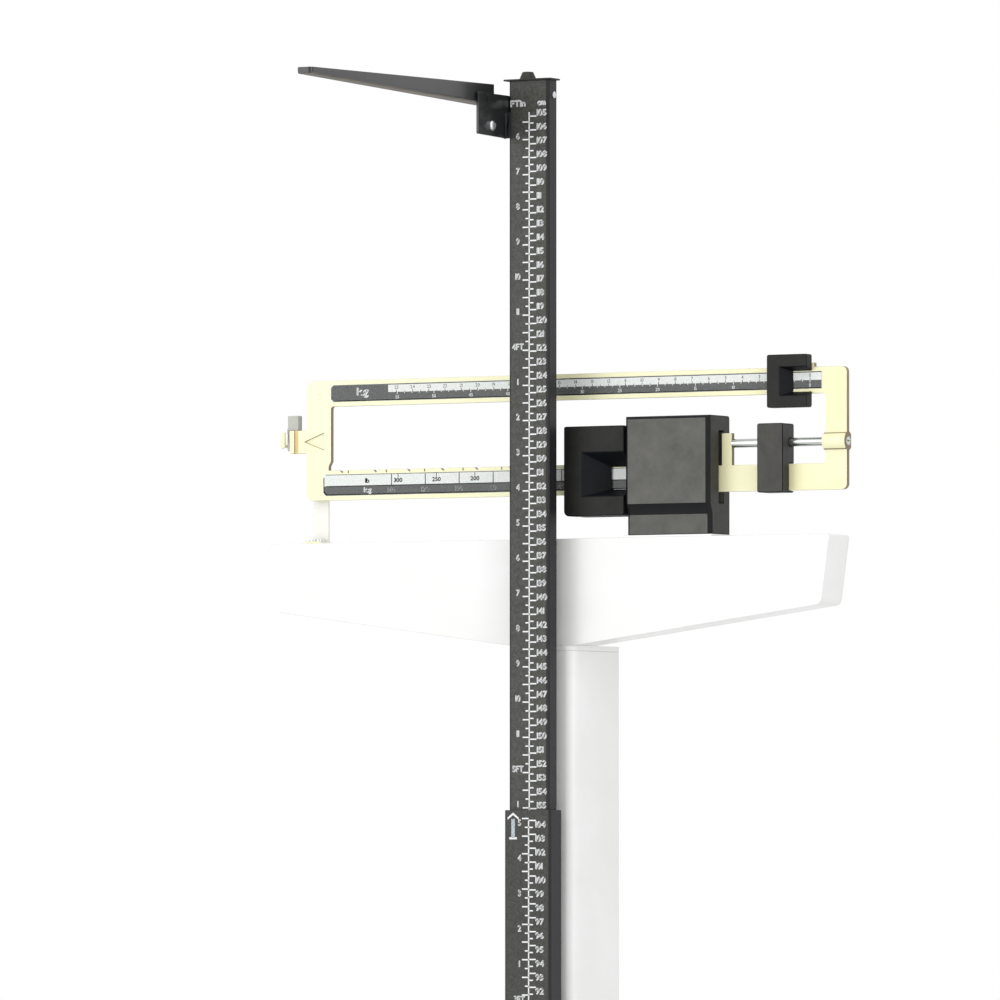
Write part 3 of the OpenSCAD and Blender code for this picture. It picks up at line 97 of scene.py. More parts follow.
class Finish:
    """A procedural material with object coordinates, ready for noise, grain and bump."""

    def __init__(self, name, rough=0.5, metal=0.0, specular=0.5, coat=0.0):
        self.material = bpy.data.materials.new(name)
        self.material.use_nodes = True
        self.tree = self.material.node_tree
        self.shader = self.tree.nodes["Principled BSDF"]
        self.shader.inputs["Roughness"].default_value = rough
        self.shader.inputs["Metallic"].default_value = metal
        self.shader.inputs["Specular IOR Level"].default_value = specular
        self.shader.inputs["Coat Weight"].default_value = coat
        self.shader.inputs["Coat Roughness"].default_value = COAT_ROUGH
        self.coords = self.tree.nodes.new("ShaderNodeTexCoord").outputs["Object"]

    def node(self, kind, **settings):
        n = self.tree.nodes.new(kind)
        for key, value in settings.items():
            setattr(n, key, value)
        return n

    def link(self, a, b):
        self.tree.links.new(a, b)

    def stretched(self, scale):
        n = self.node("ShaderNodeMapping")
        n.inputs["Scale"].default_value = scale
        self.link(self.coords, n.inputs["Vector"])
        return n.outputs["Vector"]

    def noise(self, scale, detail=3.0, rough=0.55, stretch=(1, 1, 1)):
        n = self.node("ShaderNodeTexNoise")
        n.inputs["Scale"].default_value = scale
        n.inputs["Detail"].default_value = detail
        n.inputs["Roughness"].default_value = rough
        self.link(self.stretched(stretch), n.inputs["Vector"])
        return n.outputs["Fac"]

    def tones(self, value, dark, light, low=0.3, high=0.7):
        """A colour that goes from dark to light as value goes from low to high."""
        n = self.node("ShaderNodeValToRGB")
        for element, place, tone in zip(n.color_ramp.elements, (low, high), (dark, light)):
            element.position = place
            element.color = linear(tone)
        self.link(value, n.inputs["Fac"])
        return n.outputs["Color"]

    def colour(self, output):
        self.link(output, self.shader.inputs["Base Color"])

    def facing(self, axis):
        """1 on faces that look along an axis of the object, 0 on faces square to it."""
        parts = self.node("ShaderNodeSeparateXYZ")
        self.link(self.tree.nodes["Texture Coordinate"].outputs["Normal"], parts.inputs["Vector"])
        size = self.node("ShaderNodeMath", operation="ABSOLUTE")
        self.link(parts.outputs[axis], size.inputs[0])
        return size.outputs[0]

    def beyond(self, axis, start, end):
        """0 before one place along an axis of the object, 1 after the other; places in millimetres
        of the rod frame."""
        parts = self.node("ShaderNodeSeparateXYZ")
        self.link(self.coords, parts.inputs["Vector"])
        n = self.node("ShaderNodeMapRange")
        shift = getattr(ORIGIN, axis.lower())
        n.inputs["From Min"].default_value = shift + start * MM
        n.inputs["From Max"].default_value = shift + end * MM
        self.link(parts.outputs[axis], n.inputs["Value"])
        return n.outputs["Result"]

    def blend(self, fac, one, two):
        """One colour where fac is 0, the other where it is 1."""
        n = self.node("ShaderNodeMix", data_type="RGBA")
        self.link(fac, n.inputs["Factor"])
        # Sockets 6, 7 and output 2 are the node's A, B and result for colours
        self.link(one, n.inputs[6])
        self.link(two, n.inputs[7])
        return n.outputs[2]

    def rough(self, value, low, high):
        n = self.node("ShaderNodeMapRange")
        n.inputs["To Min"].default_value = low
        n.inputs["To Max"].default_value = high
        self.link(value, n.inputs["Value"])
        self.link(n.outputs["Result"], self.shader.inputs["Roughness"])

    def bump(self, value, strength, distance):
        n = self.node("ShaderNodeBump")
        n.inputs["Strength"].default_value = strength
        n.inputs["Distance"].default_value = distance
        self.link(value, n.inputs["Height"])
        self.link(n.outputs["Normal"], self.shader.inputs["Normal"])
        if self.shader.inputs["Coat Weight"].default_value:
            self.link(n.outputs["Normal"], self.shader.inputs["Coat Normal"])


def enamel(name, dark, light, rough=(0.28, 0.4), specular=0.4, coat=0.3, peel=0.12):
    """Powder or stove enamel: a broad faint shift of tone and a fine orange peel."""
    f = Finish(name, specular=specular, coat=coat)
    f.colour(f.tones(f.noise(14, 5), dark, light))
    f.rough(f.noise(60, 3), *rough)
    f.bump(f.noise(900, 2), peel, PEEL_DEPTH)
    return f.material


def casting(name, dark, light, grain=1500, strength=0.35, specular=0.3):
    """Painted casting: fine pebbled paint over metal, duller and darker in patches."""
    f = Finish(name, specular=specular)
    f.colour(f.tones(f.noise(40, 6, 0.65), dark, light, 0.28, 0.72))
    f.rough(f.noise(220, 4), 0.42, 0.6)
    f.bump(f.noise(grain, 3), strength, PAINT_DEPTH)
    return f.material


def drawn(name, dark, light, side, shade_rims):
    """Black anodised section: mottled front with dark bands of painted shade outside the two
    places given for its rounded corners, darker sides of painted shade, faint drawing lines."""
    f = Finish(name, specular=0.3)
    lines = f.noise(300, 4, 0.6, ALONG_Z)
    front = f.tones(f.noise(520, 5, 0.7), dark, light, 0.32, 0.68)
    # Painted shade along the front's two rounded corners
    shade = f.tones(lines, (20, 20, 20), (34, 34, 32))
    left, right = shade_rims
    front = f.blend(f.beyond("X", left + 0.3, left - 0.3), front, shade)
    front = f.blend(f.beyond("X", right - 0.4, right + 0.4), front, shade)
    # The sides are a darker copy of the black: painted shade
    shaded_sides = f.tones(lines, side, paler(side, 8))
    f.colour(f.blend(f.facing("Y"), shaded_sides, front))
    f.rough(f.noise(300, 3, 0.5, ALONG_Z), 0.4, 0.55)
    f.bump(f.noise(1300, 3), 0.25, DRAWN_DEPTH)
    return f.material


def cast_grey(name, dark, light, side):
    """Grey painted casting: painted sheen makes its front paler, painted shade makes its flanks
    darker.
    """
    f = Finish(name, specular=0.35)
    # Painted sheen: the front's paler tones
    front = f.tones(f.noise(60, 6, 0.65), dark, light)
    # Painted shade: the flanks' darker tones
    shaded_flank = f.tones(f.noise(50, 5, 0.6), side, paler(side, 10))
    f.colour(f.blend(f.facing("Y"), shaded_flank, front))
    f.rough(f.noise(220, 4), 0.42, 0.6)
    f.bump(f.noise(1100, 3), 0.3, PAINT_DEPTH)
    return f.material


def steel(name, dark, light, rough, stretch=(1, 1, 1), scale=500):
    """Bare or plated metal with polishing lines."""
    f = Finish(name, metal=1.0)
    f.colour(f.tones(f.noise(scale, 4, 0.6, stretch), dark, light))
    f.rough(f.noise(scale * 0.6, 3, 0.5, stretch), *rough)
    f.bump(f.noise(scale * 3, 2, 0.5, stretch), 0.15, POLISH_DEPTH)
    return f.material


def aged_cream(name):
    """Ivory enamel that grows more yellow towards the beam's right end."""
    f = Finish(name, specular=0.4, coat=0.3)
    left = f.tones(f.noise(14, 5), (252, 250, 202), (254, 253, 218))
    right = f.tones(f.noise(22, 5), (252, 245, 192), (254, 252, 212))
    f.colour(f.blend(f.beyond("X", -200, 240), left, right))
    f.rough(f.noise(60, 3), 0.35, 0.5)
    f.bump(f.noise(900, 2), 0.3, PEEL_DEPTH)
    return f.material


def rubber(name, dark, light):
    """Matt rubber or nylon with a fine grain."""
    f = Finish(name, specular=0.25)
    f.colour(f.tones(f.noise(120, 5, 0.7), dark, light))
    f.rough(f.noise(400, 3), 0.62, 0.85)
    f.bump(f.noise(1800, 4, 0.7), 0.4, PAINT_DEPTH)
    return f.material


def ink(name, dark, light, rough=(0.45, 0.6)):
    """Printed ink, slightly uneven in cover."""
    f = Finish(name, specular=0.3)
    f.colour(f.tones(f.noise(700, 3, 0.6), dark, light))
    f.rough(f.noise(500, 2), *rough)
    return f.material


WHITE = enamel("white_enamel", (244, 244, 240), (251, 251, 249))
CREAM = aged_cream("cream_enamel")
PALE_CREAM = enamel("pale_cream", (251, 250, 240), (254, 253, 247))
# Painted shade: the beam's edge faces, the index tip's tops and the marks in the notches
EDGE_PAINTED_SHADE = enamel("beam_edge_painted_shade", (112, 94, 66), (150, 130, 98), rough=(0.4, 0.5), peel=0.3)
# Painted shade for the step down on the tongue
STEP_SHADE_TAN = enamel("step_painted_shade", (226, 188, 120), (244, 214, 158), rough=(0.4, 0.5))
GLOSS_BLACK = enamel("gloss_black", (16, 17, 20), (24, 25, 28), rough=(0.25, 0.35), specular=0.5,
                     coat=0.5)
# Rod and sleeve: painted shade along their fronts' rounded corners and on their sides
ROD_BLACK = drawn("rod_black", (54, 54, 50), (84, 84, 79), (30, 30, 33), shade_rims=(-15.2, 13.9))
SLEEVE_BLACK = drawn("sleeve_black", (50, 50, 47), (75, 75, 71), (30, 30, 34), shade_rims=(-17.8, 17.0))
# Housing and counterweight: painted sheen on their fronts, painted shade on their flanks
HOUSING_GREY = cast_grey("housing_grey", (80, 80, 75), (100, 99, 94), (40, 40, 38))
COUNTER_GREY = cast_grey("counter_grey", (54, 53, 50), (72, 71, 67), (38, 38, 37))
POISE_BLACK = casting("poise_black", (20, 20, 19), (36, 35, 33), specular=0.24)
# Painted dark reflection on bevels, and on the housing's tops
BEVEL_PAINTED_REFLECTION = casting("bevel_painted_reflection", (12, 13, 15), (22, 23, 25), strength=0.2, specular=0.18)
# Painted shade on the walls of a poise's pocket
RECESS_PAINTED_SHADE = casting("recess_painted_shade", (8, 9, 12), (18, 20, 26), strength=0.2, specular=0.15)
# Painted reflected light on the arm's underside
ARM_UNDER_PAINTED_LIGHT = casting("arm_under_painted_light", (92, 86, 78), (120, 112, 100), strength=0.2)
CAST_BLACK = casting("cast_black", (38, 38, 36), (56, 55, 52))
BASE_GREY = casting("cast_grey", (58, 59, 60), (74, 75, 76), grain=900)
ZINC = casting("zinc_casting", (176, 177, 168), (206, 207, 198), grain=1100, strength=0.4,
               specular=0.5)
RUBBER = rubber("black_rubber", (22, 22, 22), (36, 36, 36))
NYLON = rubber("black_nylon", (28, 28, 29), (40, 40, 41))
BRIGHT = steel("bright_steel", (196, 198, 200), (226, 228, 230), (0.12, 0.28))
SCREW = steel("turned_steel", (178, 182, 178), (222, 226, 222), (0.14, 0.3), ALONG_X, 900)
GREY_STEEL = steel("grey_steel", (120, 122, 126), (158, 160, 164), (0.35, 0.55))
PLATE = steel("scale_plate", (176, 180, 180), (214, 218, 216), (0.3, 0.42), ALONG_X, 700)
INK_WHITE = ink("ink_white", (232, 234, 234), (252, 252, 252))
INK_GREY = ink("ink_grey", (150, 160, 166), (206, 216, 222))
INK_PALE = ink("ink_pale", (168, 170, 170), (206, 208, 208))
INK_BLACK = ink("ink_black", (18, 18, 20), (34, 34, 36))
INK_DARK = ink("ink_dark_grey", (78, 80, 80), (104, 106, 104), rough=(0.3, 0.42))
INK_LIGHT = ink("ink_light_grey", (222, 226, 222), (242, 245, 242), rough=(0.3, 0.42))

FINISH = {
    "base_tray": WHITE, "rubber_feet": RUBBER, "foot_screws": BRIGHT, "wheel_axle": BRIGHT,
    "axle_clips": GREY_STEEL, "wheel_left": NYLON, "wheel_right": NYLON, "rear_deck": WHITE,
    "lever_stands": BASE_GREY, "long_lever": BASE_GREY, "short_lever": BASE_GREY,
    "lever_pins": BRIGHT, "platform_posts": BASE_GREY, "platform_pan": WHITE,
    "platform_mat": RUBBER, "column_foot": WHITE, "column_bolts": BRIGHT, "column": WHITE,
    "column_cap": WHITE, "crosshead": WHITE, "crosshead_back": WHITE, "back_screws": BRIGHT,
    "carrier_frame": GREY_STEEL, "carrier_bolts": BRIGHT, "lever_hanger": GREY_STEEL,
    "hanger_pin": BRIGHT, "transfer_lever": BASE_GREY, "draft_rod": BRIGHT, "draft_pin": BRIGHT,
    "stirrup": GREY_STEEL, "stirrup_pin": BRIGHT, "sleeve": SLEEVE_BLACK, "sleeve_bush": NYLON,
    "sleeve_brackets": CAST_BLACK, "bracket_nuts": BRIGHT, "inner_rod": ROD_BLACK,
    "rod_shoe": NYLON, "rod_cap": CAST_BLACK, "cap_screw": BRIGHT, "head_bracket": GLOSS_BLACK,
    "bracket_rivets": GLOSS_BLACK, "stop_screw": BRIGHT, "arm_pin": GLOSS_BLACK,
    "head_arm": GLOSS_BLACK, "housing_base": WHITE, "fulcrum_housing": HOUSING_GREY,
    "top_screws": BRIGHT, "fulcrum_bearings": BRIGHT, "beam": CREAM, "upper_scale": PLATE,
    "lower_scale": PLATE, "fulcrum_pivot": BRIGHT, "load_pivot": BRIGHT, "stop_pin": CREAM,
    "tongue_weight": ZINC, "index_plate": PALE_CREAM, "large_poise": POISE_BLACK,
    "small_poise": POISE_BLACK, "counterweight": COUNTER_GREY, "zero_screw": SCREW,
}

for name, piece in frame["nodes"].items():
    piece.data.materials.clear()
    piece.data.materials.append(FINISH[name])


# Faces of a node that carry another finish: each rule takes a face's normal and its middle
# in millimetres of the rod frame, and the first rule that fits is used

LOOKS = 0.6         # a face looks along an axis if its normal has this much of it
SQUARE = 0.97       # and it is square to the axis if its normal has this much
INDEX_FRONT = 33    # the fixed index is the index plate's part in front of this depth


def recess(node):
    """A rule for the walls of a poise's pocket, open to the front and to the right; they get
    painted shade.
    """
    lo, hi = box_mm(node)
    rim, right, front = 3, 0.2, 0.4     # how far inside the poise's box they lie

    def rule(normal, middle):
        return (lo.x + rim < middle.x < hi.x - right and lo.z + rim < middle.z < hi.z - rim
                and middle.y > lo.y + front and abs(normal.y) < 0.9)
    return rule


def slanted(normal, middle):
    """A rule for bevels and other faces that look along none of the three axes."""
    return max(abs(normal.x), abs(normal.y), abs(normal.z)) < SQUARE


SECOND = {
    # The beam's edge faces: painted shade
    "beam": [(EDGE_PAINTED_SHADE, lambda n, c: abs(n.y) < LOOKS)],
    # The arm's underside: painted reflected light
    "head_arm": [(ARM_UNDER_PAINTED_LIGHT, lambda n, c: n.z < -LOOKS)],
    # Poise pocket walls: painted shade; poise bevels: painted dark reflection
    "large_poise": [(RECESS_PAINTED_SHADE, recess("large_poise")), (BEVEL_PAINTED_REFLECTION, slanted)],
    "small_poise": [(RECESS_PAINTED_SHADE, recess("small_poise")), (BEVEL_PAINTED_REFLECTION, slanted)],
    # Counterweight bevels: painted dark reflection
    "counterweight": [(BEVEL_PAINTED_REFLECTION, slanted)],
    # Housing bevels and tops: painted dark reflection
    "fulcrum_housing": [(BEVEL_PAINTED_REFLECTION, lambda n, c: slanted(n, c) or n.z > LOOKS)],
    # The index tip's tops: painted shade; the rest of the tip is its own cream
    "index_plate": [(EDGE_PAINTED_SHADE, lambda n, c: c.y < INDEX_FRONT and n.z > LOOKS),
                    (CREAM, lambda n, c: c.y < INDEX_FRONT)],
}


# Castings and sheet metal with broken edges, in place of the sharp solids

WELD = 1e-6                     # metres within which points are one
FLAT = math.radians(0.6)        # faces that meet at less than this are one
SHARP = math.radians(32)        # edges that turn more than this are rounded over
CREASE = math.radians(38)       # edges that still turn more than this are shaded hard


def turns_more(edge, angle):
    return len(edge.link_faces) == 2 and edge.calc_face_angle(0) > angle


def softened(node, width):
    """Puts a copy of a CAD node with its edges rounded over by width millimetres in its place."""
    mesh = frame["nodes"][node].data.copy()
    mesh.name = node + "_soft"
    bm = bmesh.new()
    bm.from_mesh(mesh)
    bmesh.ops.remove_doubles(bm, verts=bm.verts, dist=WELD)
    bmesh.ops.dissolve_limit(bm, angle_limit=FLAT, verts=bm.verts, edges=bm.edges)
    sharp = [e for e in bm.edges if turns_more(e, SHARP)]
    bmesh.ops.bevel(bm, geom=sharp, offset=width * MM, offset_type="OFFSET", segments=2,
                    profile=0.5, affect="EDGES", clamp_overlap=False, loop_slide=True)
    for f in bm.faces:
        f.smooth = True
    for e in bm.edges:
        e.smooth = not turns_more(e, CREASE)
    bm.to_mesh(mesh)
    bm.free()
    piece = bpy.data.objects.new(node + "_finish", mesh)
    bpy.context.scene.collection.objects.link(piece)
    mesh.materials.clear()
    mesh.materials.append(FINISH[node])
    if node in SECOND:
        for material, _ in SECOND[node]:
            mesh.materials.append(material)
        for face in mesh.polygons:
            middle = (face.center - ORIGIN) / MM
            face.material_index = next((i for i, (_, rule) in enumerate(SECOND[node], 1)
                                        if rule(face.normal, middle)), 0)
    weighted = piece.modifiers.new("normals", "WEIGHTED_NORMAL")
    weighted.keep_sharp = True
    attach(piece, BODY[node])
    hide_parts(node)


EDGES = {
    "column": 0.4, "column_cap": 0.5, "crosshead": 0.6, "crosshead_back": 0.5, "column_foot": 0.6,
    "base_tray": 0.8, "rear_deck": 0.8, "platform_pan": 0.8, "sleeve": 0.3, "sleeve_brackets": 0.5,
    "inner_rod": 0.25, "rod_cap": 0.35, "head_bracket": 0.3, "head_arm": 0.35,
    "housing_base": 0.3, "fulcrum_housing": 0.5, "beam": 0.35, "large_poise": 0.8,
    "small_poise": 0.5, "counterweight": 0.6, "tongue_weight": 0.5, "index_plate": 0.3,
    "long_lever": 0.8, "short_lever": 0.8,
}
for name, width in EDGES.items():
    softened(name, width)


# Print: figures and marks lie a hair proud of the face that carries them. Millimetres.

FONT_WIDTH = 0.62       # the width at which a character has the font's own proportions
BOLD_STEP = 0.02        # how far apart in depth the copies of a bold character lie
PLATE_LIFT = 0.03       # how proud the print of the scale plates and the tongue's band of painted shade is
OVER = 0.02             # how proud a mark is of the coloured field that it is printed on
INCH = 2.54             # centimetres
POUNDS_PER_KG = 2.20462


def glyphs(characters):
    """The built-in font's characters, scaled so that a 0 is one unit high: points, faces and
    width of each."""
    found = {}
    for c in characters:
        curve = bpy.data.curves.new("glyph", "FONT")
        curve.body = c
        curve.resolution_u = 3
        holder = bpy.data.objects.new("glyph", curve)
        mesh = holder.to_mesh()
        found[c] = ([(v.co.x, v.co.y) for v in mesh.vertices],
                    [tuple(p.vertices) for p in mesh.polygons])
        holder.to_mesh_clear()
        bpy.data.objects.remove(holder)
        bpy.data.curves.remove(curve)
    high = max(y for _, y in found["0"][0])
    out = {}
    for c, (points, faces) in found.items():
        left = min(x for x, _ in points)
        right = max(x for x, _ in points)
        out[c] = ([((x - left) / high, y / high) for x, y in points], faces, (right - left) / high)
    return out


GLYPHS = glyphs("0123456789FTcmingklb")


class Print:
    """Flat marks on a face that looks towards -Y, gathered into one mesh."""

    def __init__(self, y, lift=0.05):
        self.y, self.lift = y, lift
        self.points, self.faces, self.which, self.inks = [], [], [], []

    def _ink(self, material):
        if material not in self.inks:
            self.inks.append(material)
        return self.inks.index(material)

    def polygon(self, corners, material, lift=0.0):
        n = len(self.points)
        self.points += [at(x, self.y - self.lift - lift, z) for x, z in corners]
        self.faces.append(tuple(range(n, n + len(corners))))
        self.which.append(self._ink(material))

    def patch(self, x0, x1, z0, z1, material, lift=0.0):
        self.polygon([(x0, z0), (x1, z0), (x1, z1), (x0, z1)], material, lift)

    def tick(self, x, half, z0, z1, material):
        """An upright mark on a coloured field; half is half its width."""
        self.patch(x - half, x + half, z0, z1, material, OVER)

    def text(self, words, x, z, high, material, width=FONT_WIDTH, align="left", bold=0.0,
             lift=0.0, gap=0.12):
        """Characters of the height high; x is the left or the middle of the line, z its foot."""
        wide = [GLYPHS[c][2] * high * width / FONT_WIDTH for c in words]
        total = sum(wide) + gap * high * (len(words) - 1)
        x -= {"left": 0, "middle": total / 2}[align]
        y = self.y - self.lift - lift
        copies = [(-bold, 0), (bold, 0), (0, bold), (0, -bold)] if bold else [(0, 0)]
        for c, w in zip(words, wide):
            points, faces, _ = GLYPHS[c]
            for dx, dz in copies:
                n = len(self.points)
                step = (dx + dz) * BOLD_STEP
                self.points += [at(x + dx + u * high * width / FONT_WIDTH, y - step,
                                   z + dz + v * high) for u, v in points]
                self.faces += [tuple(n + i for i in f) for f in faces]
                self.which += [self._ink(material)] * len(faces)
            x += w + gap * high

    def figure(self, number, x, z, high, material, width=FONT_WIDTH, bold=0.0):
        """A number on a coloured field, its middle at x."""
        self.text(str(number), x, z, high, material, width, "middle", bold, OVER)

    def done(self, name, body):
        mesh = bpy.data.meshes.new(name)
        mesh.from_pydata([tuple(p) for p in self.points], [], self.faces)
        for material in self.inks:
            mesh.materials.append(material)
        mesh.polygons.foreach_set("material_index", self.which)
        mesh.update()
        piece = bpy.data.objects.new(name, mesh)
        bpy.context.scene.collection.objects.link(piece)
        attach(piece, body)


# Height scales: centimetres to the right of a line, inches to its left

LINE = 0.5                          # half the thickness of the line and of every mark
CM_MARK, HALF_CM_MARK = 6.0, 3.6    # how long the marks are
HALF_INCH_MARK, QUARTER_INCH_MARK = 5.5, 3.1
FIGURE = 4.2                        # how high the figures are


def inch_mark(k):
    """How a whole inch is written on the rod: feet in full, other inches as figures."""
    return f"{k // 12}FT" if k % 12 == 0 else str(k % 12)


def height_marks(sheet, place, first, last, label_up, line_x=0.0):
    """Marks from one height to another, in centimetres. place gives a height's z on the sheet;
    the figures stand above their marks where label_up is true, and hang below them elsewhere."""
    z0, z1 = sorted((place(first - 0.3), place(last)))
    sheet.patch(line_x - LINE, line_x + LINE, z0, z1, INK_WHITE)
    for half in range(int(first * 2), int(last * 2) + 1):
        z = place(half / 2)
        whole = half % 2 == 0
        end = line_x + (CM_MARK if whole else HALF_CM_MARK)
        sheet.patch(line_x, end, z - LINE, z + LINE, INK_WHITE)
        if whole:
            foot = z + 0.4 if label_up else z - 4.9
            start = line_x + (6.6 if label_up else 5.9)
            sheet.text(str(half // 2), start, foot, FIGURE, INK_WHITE, width=0.7, bold=0.32,
                       gap=0.14)
    for quarter in range(math.ceil(first / INCH * 4), int((last + 0.2) / INCH * 4) + 1):
        z = place(quarter / 4 * INCH)
        start = line_x - (HALF_INCH_MARK if quarter % 2 == 0 else QUARTER_INCH_MARK)
        sheet.patch(start, line_x, z - LINE, z + LINE, INK_WHITE)
        if quarter % 4 == 0:
            foot = z + 0.6 if label_up else z - 5.0
            centre = line_x - (9.4 if label_up else 7.6)
            sheet.text(inch_mark(quarter // 4), centre, foot, FIGURE, INK_WHITE, width=0.6,
                       bold=0.28, align="middle", gap=0.14)


READING_EDGE = 1046     # where the rod is read, at the tip of the sleeve's arrow
REST_READING = 155.3    # centimetres read there at rest
rod_print = Print(box_mm("inner_rod")[0].y)
height_marks(rod_print, lambda cm: READING_EDGE + (REST_READING - cm) * 10, 105, 197, True)
rod_print.text("cm", 7.2, 1556.9, 4.0, INK_WHITE, bold=0.34)
rod_print.text("FTin", -9.3, 1556.4, 4.4, INK_WHITE, width=0.72, bold=0.34, align="middle")
rod_print.done("rod_marks", "height_rod")

ARROW_X, ARROW_WING = -12, 4.6
sleeve_print = Print(box_mm("sleeve")[0].y)
height_marks(sleeve_print, lambda cm: cm * 10 + 0.5, 9, 104, False, 0.9)
for side in (-1, 1):
    wing = ARROW_X + side * ARROW_WING
    corners = [(wing, 1041.0), (wing, 1042.6), (ARROW_X, 1046.2), (ARROW_X, 1044.4)]
    sleeve_print.polygon(corners[::side], INK_WHITE)
sleeve_print.patch(-13.5, -10.5, 1028.2, 1041.6, INK_GREY)
sleeve_print.patch(-15.1, -8.9, 1026.9, 1028.5, INK_WHITE)
sleeve_print.done("sleeve_marks", "frame")

# Scale plates: a light row and a dark row, figures growing to the left. The names that end in
# left, right, foot and head are the edges of the printed field.
up_lo, up_hi = box_mm("upper_scale")
up = Print(up_lo.y, PLATE_LIFT)
up_left, up_right, up_foot, up_head = up_lo.x + 0.1, up_hi.x - 0.3, up_lo.z + 0.1, up_hi.z - 0.1
up_split = (up_lo.z + up_hi.z) / 2      # where the light row meets the dark one
UP_CORNER = 2                           # the plate's cut corners
LABEL_END = -141                        # the dark label's right end in the light row
UP_ZERO, UP_KG, UP_LAST = 209.8, 13.75, 25
up.polygon([(up_left, up_lo.z + UP_CORNER), (up_lo.x + UP_CORNER, up_foot), (up_right, up_foot),
            (up_right, up_split), (LABEL_END, up_split), (LABEL_END, up_head),
            (up_lo.x + UP_CORNER, up_head), (up_left, up_hi.z - UP_CORNER)], INK_DARK)
up.patch(LABEL_END, up_right, up_split, up_hi.z - 0.7, INK_LIGHT)
up.patch(LABEL_END, up_right, up_hi.z - 0.7, up_head, INK_BLACK)
up.patch(up_lo.x + 3, up_right, up_lo.z + 0.2, up_lo.z + 0.8, INK_BLACK)
up.text("kg", -167.5, up_lo.z + 4.6, 5.2, INK_WHITE, width=0.85, lift=OVER, bold=0.4)
for k in range(UP_LAST + 1):
    x = UP_ZERO - k * UP_KG
    up.tick(x, 0.25, up_split, up_split + 1.6, INK_BLACK)
    up.figure(k, x, up_split + 2.2, 2.5, INK_BLACK)
    if k < UP_LAST:
        up.tick(x - UP_KG / 2, 0.2, up_split, up_split + 0.9, INK_BLACK)
for k in range(int(UP_LAST * POUNDS_PER_KG) + 1):
    x = UP_ZERO - k * (UP_KG / POUNDS_PER_KG)
    tall = k % 5 == 0
    up.tick(x, 0.25, up_split - (1.7 if tall else 1.0), up_split, INK_WHITE)
    if tall:
        up.figure(k, x, up_lo.z + 1.3, 2.4, INK_WHITE)
up.done("upper_scale_print", "weigh_beam")

low_lo, low_hi = box_mm("lower_scale")
low = Print(low_lo.y, PLATE_LIFT)
low_left, low_right, low_foot = low_lo.x + 0.1, low_hi.x - 0.3, low_lo.z + 0.1
low_split = low_lo.z + 6.9
LOW_CORNER = 2.2
LOW_EDGE = 0.01         # how proud the black edges are of the field
LOW_ZERO, LOW_20_KG, LOW_50_LB = 62.8, 28.7, 32.55
# The tan marks over the notch strip are painted shade of the notches
NOTCHES = (-175.6, -174.5, 1295.7, 1297.7)      # the first tan mark over the notch strip
low.polygon([(low_left, low_lo.z + LOW_CORNER), (low_lo.x + LOW_CORNER, low_foot),
             (low_right, low_foot), (low_right, low_split), (low_left, low_split)], INK_DARK)
low.patch(low_left, low_lo.x + 0.9, low_lo.z + LOW_CORNER, low_hi.z - LOW_CORNER, INK_BLACK,
          LOW_EDGE)
low.polygon([(low_left, low_lo.z + LOW_CORNER), (low_lo.x + LOW_CORNER, low_foot),
             (low_lo.x + 3.2, low_lo.z + 1.1), (low_lo.x + 1.1, low_lo.z + 3.2)], INK_BLACK,
            LOW_EDGE)
low.patch(low_lo.x + 0.5, low_right, low_split, low_hi.z - 0.6, INK_LIGHT)
low.patch(low_lo.x + 2, low_right, low_hi.z - 0.5, low_hi.z - 0.1, INK_BLACK)
low.patch(low_lo.x + 2, low_right, low_split - 0.4, low_split + 0.3, INK_BLACK, LOW_EDGE)
low.patch(low_lo.x + LOW_CORNER, low_right, low_foot, low_lo.z + 1.1, INK_BLACK, LOW_EDGE)
for k in range(1, 8):
    x = LOW_ZERO - k * LOW_20_KG
    low.tick(x, 0.35, low_split, low_hi.z - 0.6, INK_BLACK)
    low.figure(k * 20, x, low_lo.z + 1.8, 3.4, INK_PALE, 0.7, 0.15)
for k in range(1, 7):
    x = LOW_ZERO - k * LOW_50_LB
    low.tick(x, 0.3, low_hi.z - 3.0, low_hi.z - 0.5, INK_BLACK)
    low.figure(k * 50, x, low_hi.z - 6.4, 2.9, INK_BLACK, 0.75, 0.15)
# Painted shade of the six notches
for k in range(6):
    left, right, foot, head = NOTCHES
    low.patch(k * LOW_50_LB + left, k * LOW_50_LB + right, foot, head, EDGE_PAINTED_SHADE)
low.text("lb", -160.5, low_hi.z - 6.4, 3.2, INK_BLACK, width=0.8, lift=OVER, bold=0.2)
low.text("kg", -161.5, low_lo.z + 2.2, 3.4, INK_WHITE, width=0.85, lift=OVER, bold=0.3)
low.done("lower_scale_print", "weigh_beam")

# A tan band of painted shade where the tongue steps down from its thicker end
BAND_FROM_END, BAND_WIDTH, BAND_FOOT, BAND_HEAD = 6.8, 2.9, 1311.3, 1327.7
band_x = box_mm("tongue_weight")[0].x + BAND_FROM_END
tongue = Print(up_lo.y, PLATE_LIFT)
tongue.patch(band_x, band_x + BAND_WIDTH, BAND_FOOT, BAND_HEAD, STEP_SHADE_TAN)
tongue.done("tongue_step_painted_shade", "weigh_beam")


# Stage: pale floor, white surroundings, soft lamps

FILL_COLOUR, FILL_STRENGTH = (0.97, 0.985, 1, 1), 0.64
FLOOR_HALF = 9                  # metres
FLOOR_FADE = (0.9, 3.2)         # where the floor starts to fade into the white, and ends
LAMP_TARGET = (0, 0.1, 1.25)


